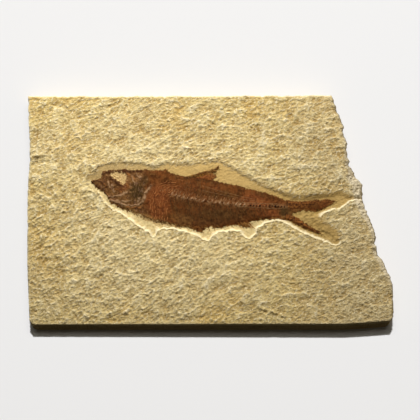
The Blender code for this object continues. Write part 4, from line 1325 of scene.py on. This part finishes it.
# ================================================================ assembly
def dress():
    """Every piece of the slab, each one riding on the root body in place of its CAD node."""
    plate = grown(build_plate(), pecked_stone_tree(), {
        "Chip breadth": 1.4, "Chip stretch": 1.32, "Chip depth": 0.47, "Spall breadth": 4.2,
        "Spall depth": 0.38, "Flake breadth": 0.92, "Flake depth": 0.27, "Swell breadth": 5.0, "Swell": 0.9,
        "Lamina": 0.8, "Lamina depth": 0.9, "Hollow depth": 1.1 * MM, "Highest": cad_high[2] - 0.03 * MM,
        "Seed": 3.0, "Material": pecked_limestone()}, "limestone_plate")
    film = build_fish()
    film.data.materials.append(pressed_film())
    surfaces = {"Film": film, "Stone": plate}
    pieces = [film]

    rods = bone_rods_tree()
    looks = {                   # shaded and lit colour, root and tip radius
        "ribs": ("#3a240e", "#644523", 0.18, 0.10),
        "spines": ("#50290f", "#7f4f26", 0.13, 0.08),
        "fin_rays": ("#3d1f0a", "#8f5a28", 0.18, 0.09),
        "dorsal_front": ("#4a3010", "#a8762f", 0.13, 0.07),
        "dorsal_rear": ("#6a3918", "#b06a32", 0.12, 0.07),
        "anal_rays": ("#5a3614", "#b88442", 0.17, 0.09),
        "scale_rows": ("#7a4522", "#b47641", 0.14, 0.12),
        "scutes": ("#43280e", "#9a7440", 0.18, 0.09),
        "fringe": ("#5c3a18", "#a37c44", 0.14, 0.06),
        "throat_hairs": ("#ae8a4e", "#dfc288", 0.12, 0.06),
        "sheaths": ("#6d4a2a", "#a07c52", 0.13, 0.10),
    }
    for name, strokes in fish_strokes().items():
        shaded, lit, root, tip = looks[name]
        pieces.append(grown(strokes_mesh(name, strokes), rods, {
            **surfaces, "Root radius": root * MM, "Tip radius": tip * MM, "Sink": 0.02 * MM,
            "Step": 0.4 * MM, "Material": solid_bone("fossil_bone_" + name, shaded, lit)}, "fossil_" + name))
    beads = vertebrae_tree()
    rows = {                    # line, pitch, length, height, shaded and lit colour
        "front_vertebrae": (FRONT_VERTEBRAE, VERTEBRA_PITCH, 0.55, 1.9, "#6f4e2f", "#b4906a"),
        "rear_vertebrae": (REAR_VERTEBRAE, REAR_PITCH, 0.72, 1.0, "#1e0f05", "#2f1b0b"),
    }
    for name, (line, pitch, length, height, shaded, lit) in rows.items():
        pieces.append(grown(strokes_mesh(name, [(line, 1.0)]), beads, {
            **surfaces, "Pitch": pitch * MM, "Length": length * MM, "Height": height * MM,
            "Lean": math.radians(-32), "Sink": 0.08 * MM, "Seed": 6,
            "Material": solid_bone("fossil_bone_" + name, shaded, lit)}, "fossil_" + name))
    pieces.append(grown(strokes_mesh("scale_seed", [([(0, 0), (1, 0)], 1.0)]), scales_tree(), {
        **surfaces, "Left": -14.5 * MM, "Bottom": -7.0 * MM, "Across": 1.2 * MM, "Down": 1.9 * MM,
        "Fall": -0.16, "Columns": 19, "Rows": 16, "Radius": 1.8 * MM, "Rim": 0.15 * MM,
        "Scatter": 0.5 * MM, "Sink": 0.04 * MM, "Kept": 0.75, "Seed": 4, "Material": scale_bone()},
        "fossil_scales"))

    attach(plate, "root")
    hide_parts("limestone_slab")
    for piece in pieces:
        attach(piece, "root")
        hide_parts("fossil_fish")
    return [plate] + pieces


def panel(name, place, size, power, colour, reach):
    """A soft panel aimed at the plate's middle, that lights only the given objects."""
    light = bpy.data.lights.new(name, "AREA")
    light.shape = "RECTANGLE"
    light.size, light.size_y = size
    light.energy = power
    light.color = colour
    obj = bpy.data.objects.new(name, light)
    obj.location = place
    obj.rotation_mode = "QUATERNION"
    obj.rotation_quaternion = (Vector(place) - PLATE_MIDDLE).to_track_quat("Z", "Y")
    bpy.context.scene.collection.objects.link(obj)
    lit = bpy.data.collections.new(name + "_reach")
    for thing in reach:
        lit.objects.link(thing)
    obj.light_linking.receiver_collection = lit


def studio(pieces):
    """Pale floor, a raking panel beyond the fish's back, broad fill, and the camera."""
    bm = bmesh.new()
    bmesh.ops.create_grid(bm, x_segments=1, y_segments=1, size=FLOOR_HALF_WIDTH)
    mesh = bpy.data.meshes.new("studio_floor")
    bm.to_mesh(mesh)
    bm.free()
    mesh.materials.append(white_card())
    floor = bpy.data.objects.new("studio_floor", mesh)
    bpy.context.scene.collection.objects.link(floor)
    floor.visible_diffuse = False

    panel("raking_panel", (-0.085, 0.30, 0.215), (0.05, 0.03), 1.86, (1.0, 1.0, 1.04), pieces)
    panel("fill_panel", (-0.04, 0.30, 0.60), (0.4, 0.4), 1.0, (1.0, 0.85, 0.60), pieces)
    panel("edge_panel", (0.34, 0.10, 0.10), (0.1, 0.1), 0.30, (1.0, 0.92, 0.78), pieces)
    panel("floor_panel", (0.0, 0.47, 1.50), (0.09, 0.05), 22.0, (1.0, 1.0, 1.02), [floor])
    panel("floor_fill", (0.0, 0.30, 1.50), (1.0, 0.50), 3.5, (1.0, 0.95, 0.84), [floor])

    world = bpy.data.worlds.new("studio_air")
    world.use_nodes = True
    feed(world.node_tree, world.node_tree.nodes["Background"], {
        "Color": (1.0, 0.87, 0.68, 1.0), "Strength": 0.03})
    bpy.context.scene.world = world
    bpy.context.scene.view_settings.view_transform = "Standard"

    back = Vector((0.0, -math.cos(CAMERA_ELEVATION), math.sin(CAMERA_ELEVATION)))
    camera = bpy.data.cameras.new("camera")
    camera.lens = CAMERA_LENS
    camera.sensor_width = CAMERA_SENSOR
    camera.clip_start = 0.01
    camera.clip_end = 20
    eye = bpy.data.objects.new("camera", camera)
    eye.location = CAMERA_TARGET + back * CAMERA_DISTANCE
    eye.rotation_mode = "QUATERNION"
    eye.rotation_quaternion = (-back).to_track_quat("-Z", "Y")
    bpy.context.scene.collection.objects.link(eye)
    bpy.context.scene.camera = eye


studio(dress())
